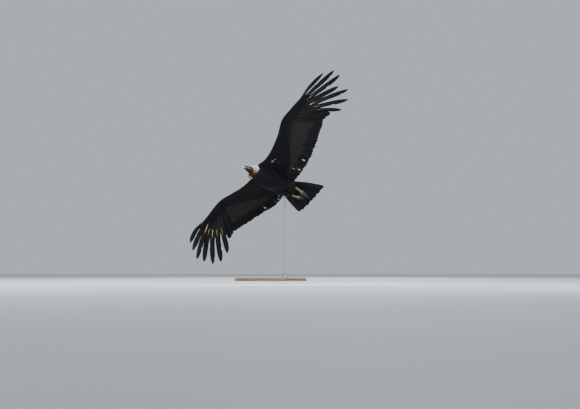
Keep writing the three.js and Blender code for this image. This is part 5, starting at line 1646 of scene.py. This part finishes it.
def limb(name, points, radii, along, around, scutes=0.0, flat=1.0):
    """Round limb through points, with rings of scutes that stand out by scutes millimetres."""
    knots = np.linspace(0, 1, len(points))
    centre_rows = [(k, *p) for k, p in zip(knots, points)]
    radius_rows = [(k, r) for k, r in zip(np.linspace(0, 1, len(radii)), radii)]
    length = float(np.sum(np.linalg.norm(np.diff(np.array(points, float), axis=0), axis=1)))

    def shape(s, a):
        ahead = smooth(centre_rows, np.minimum(s + 0.01, 1)) - smooth(centre_rows, np.maximum(s - 0.01, 0))
        run = unit(ahead)
        across = unit(np.cross(run, flat_up(0)))
        back = np.cross(across, run)
        radius = smooth(radius_rows, s)[..., 0]
        ring = np.abs(np.sin(math.pi * s * length / SCUTE)) ** 0.4
        upper = step(-0.2, 0.35, np.sin(a))
        radius = radius + scutes * (upper * (ring - 0.8) + (1 - upper) * 0.5 * np.sin(3 * s * math.pi) ** 2)
        end = np.clip(1 - np.abs(2 * s - 1) ** 24, 0.25, 1)
        place = smooth(centre_rows, s) + across * (np.cos(a) * radius * end)[..., None]
        return (place + back * (np.sin(a) * radius * flat * end)[..., None]).T

    return tube(name, along, around, shape)


def toe_line(leg, side, toe):
    """Start, bend and end of one toe."""
    _, start_aside, end_aside, reach, height = toe
    foot, toe_end = np.array(leg["foot"], float), np.array(leg["toe_end"], float)
    aside = np.array([0, -1.0 if side == "left" else 1.0, 0])
    start = foot + aside * start_aside * 0.6
    end = foot + (toe_end - foot) * reach + aside * end_aside + (0, 0, height)
    middle = (start + end) / 2 + aside * end_aside * 0.25 + (0, 0, 5)
    return start, middle, end


scaly, tree, shader = material("scaly leg skin")
place = node(tree, "ShaderNodeTexCoord").outputs["Object"]
size = {"Scale": 1 / (2.1 * MM)}
plates = node(tree, "ShaderNodeTexVoronoi", size, {"Vector": place}, feature="DISTANCE_TO_EDGE")
plate = ramp(tree, plates.outputs["Distance"], 0.02, 0.22)
stain = cloudy(tree, 1 / (22 * MM), 4, place)
pale = mix(tree, ramp(tree, stain, 0.35, 0.65), "7f775e", "aaa07e")
pale = mix(tree, attribute(tree, "distal"), pale, mix(tree, stain, "423f36", "625d50"))
paint(tree, shader, mix(tree, plate, "403b30", pale), {"Roughness": 0.6})
bumped(tree, shader, plate, 0.0005, 0.7)
dark_horn, tree, shader = material("claw horn")
streaks = cloudy(tree, 200, 5, Distortion=1.2)
paint(tree, shader, mix(tree, streaks, "121010", "2e2926"), {"Roughness": 0.32})
bumped(tree, shader, streaks, 0.0002, 0.5)
for side, leg in LEGS.items():
    hip, ankle, foot = (np.array(leg[key], float) for key in ("thigh", "ankle", "foot"))
    inside = ankle + (hip - ankle) * 0.12
    thick = LEG["tarsus"]
    parts = [limb("shank", [inside, ankle, foot], (thick, thick * 0.95, thick * 1.2), 90, 28, 0.7)]
    parts.append(ball("hub", foot, (19, 14, 10.5)))
    for toe in TOES:
        radius = LEG["toe"] * (1 if toe[0] == "middle" else 0.88)
        radii = (radius * 1.15, radius * 0.95, radius * 1.05, radius * 0.78, radius * 0.86, radius * 0.6)
        parts.append(limb("toe", toe_line(leg, side, toe), radii, 60, 20, 0.8, 0.92))
    scaled = fused(f"foot_skin_{side}", parts, 1.2, 1)
    points = mesh_points(scaled)
    beyond = (points[:, 0] < foot[0]) * step(20, 60, np.linalg.norm(points - foot, axis=1))
    set_marks(scaled, dict(distal=beyond))
    finish_mesh(scaled, (scaly,))
    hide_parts(f"shank_{side}", f"foot_{side}")
    print("foot", side, len(scaled.data.polygons), "faces")
    for toe in TOES:
        _, middle, end = toe_line(leg, side, toe)
        run = unit(end - middle)
        size = 0.75 if toe[0] == "hind" else 1
        start = end - run * CLAW["sunk"]
        bend_at = start + run * CLAW["length"] * 0.5 * size - (0, 0, CLAW["drop"] * 0.2 * size)
        tip = start + run * CLAW["length"] * 0.9 * size - (0, 0, CLAW["drop"] * size)
        radius = CLAW["radius"] * (1.05 if toe[0] == "middle" else 0.95)
        radii = (radius, radius * 0.8, radius * 0.45, 0.5)
        claw = limb(f"claw_horn_{side}_{toe[0]}", (start, bend_at, tip), radii, 30, 20)
        finish_mesh(claw, (dark_horn,))
        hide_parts(f"claw_{side}_{toe[0]}")

# %% [markdown]
# Stand: a plinth of oiled oak with a brushed steel rod and collar. Their solids are shown as they
# are, with grain that runs along the board and fine brush marks round the steel.

# %% Finish of the stand
oak, tree, shader = material("oiled oak")
place = node(tree, "ShaderNodeTexCoord").outputs["Object"]
stretched = node(tree, "ShaderNodeMapping", {"Scale": (1, 9, 9)}, {"Vector": place}).outputs["Vector"]
rings = cloudy(tree, 5, 8, stretched, Roughness=0.62, Distortion=0.5)
pores = node(tree, "ShaderNodeMapping", {"Scale": (6, 160, 160)}, {"Vector": place}).outputs["Vector"]
pits = cloudy(tree, 1.6, 3, pores)
wood = mix(tree, ramp(tree, rings, 0.35, 0.65), "5d4028", "8a6541")
paint(tree, shader, mix(tree, ramp(tree, pits, 0.3, 0.42), "3a2717", wood), {"Roughness": 0.42})
bumped(tree, shader, pits, 0.0004, 0.4)
steel, tree, shader = material("brushed steel")
place = node(tree, "ShaderNodeTexCoord").outputs["Object"]
drawn = node(tree, "ShaderNodeMapping", {"Scale": (30, 30, 900)}, {"Vector": place}).outputs["Vector"]
brush = cloudy(tree, 1, 4, drawn)
paint(tree, shader, mix(tree, brush, "8d9095", "b4b7ba"), {"Metallic": 1})
rough = node(tree, "ShaderNodeMapRange", {"To Min": 0.26, "To Max": 0.42}, {"Value": brush})
tree.links.new(rough.outputs["Result"], shader.inputs["Roughness"])
bumped(tree, shader, brush, 0.0001, 0.3)
for name, finish in (("stand_base", oak), ("stand_collar", steel), ("stand_rod", steel)):
    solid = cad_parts[name]
    solid.data.materials.clear()
    solid.data.materials.append(finish)
print("stand finished")

# %% Finishing
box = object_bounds()
for low_cad, low, high_cad, high in zip(cad_box[0], box[0], cad_box[1], box[1]):
    allowed = 0.03 * (high_cad - low_cad) + 0.01
    print("side stands out", round(max(low_cad - low, high - high_cad), 4), "of", round(allowed, 4))
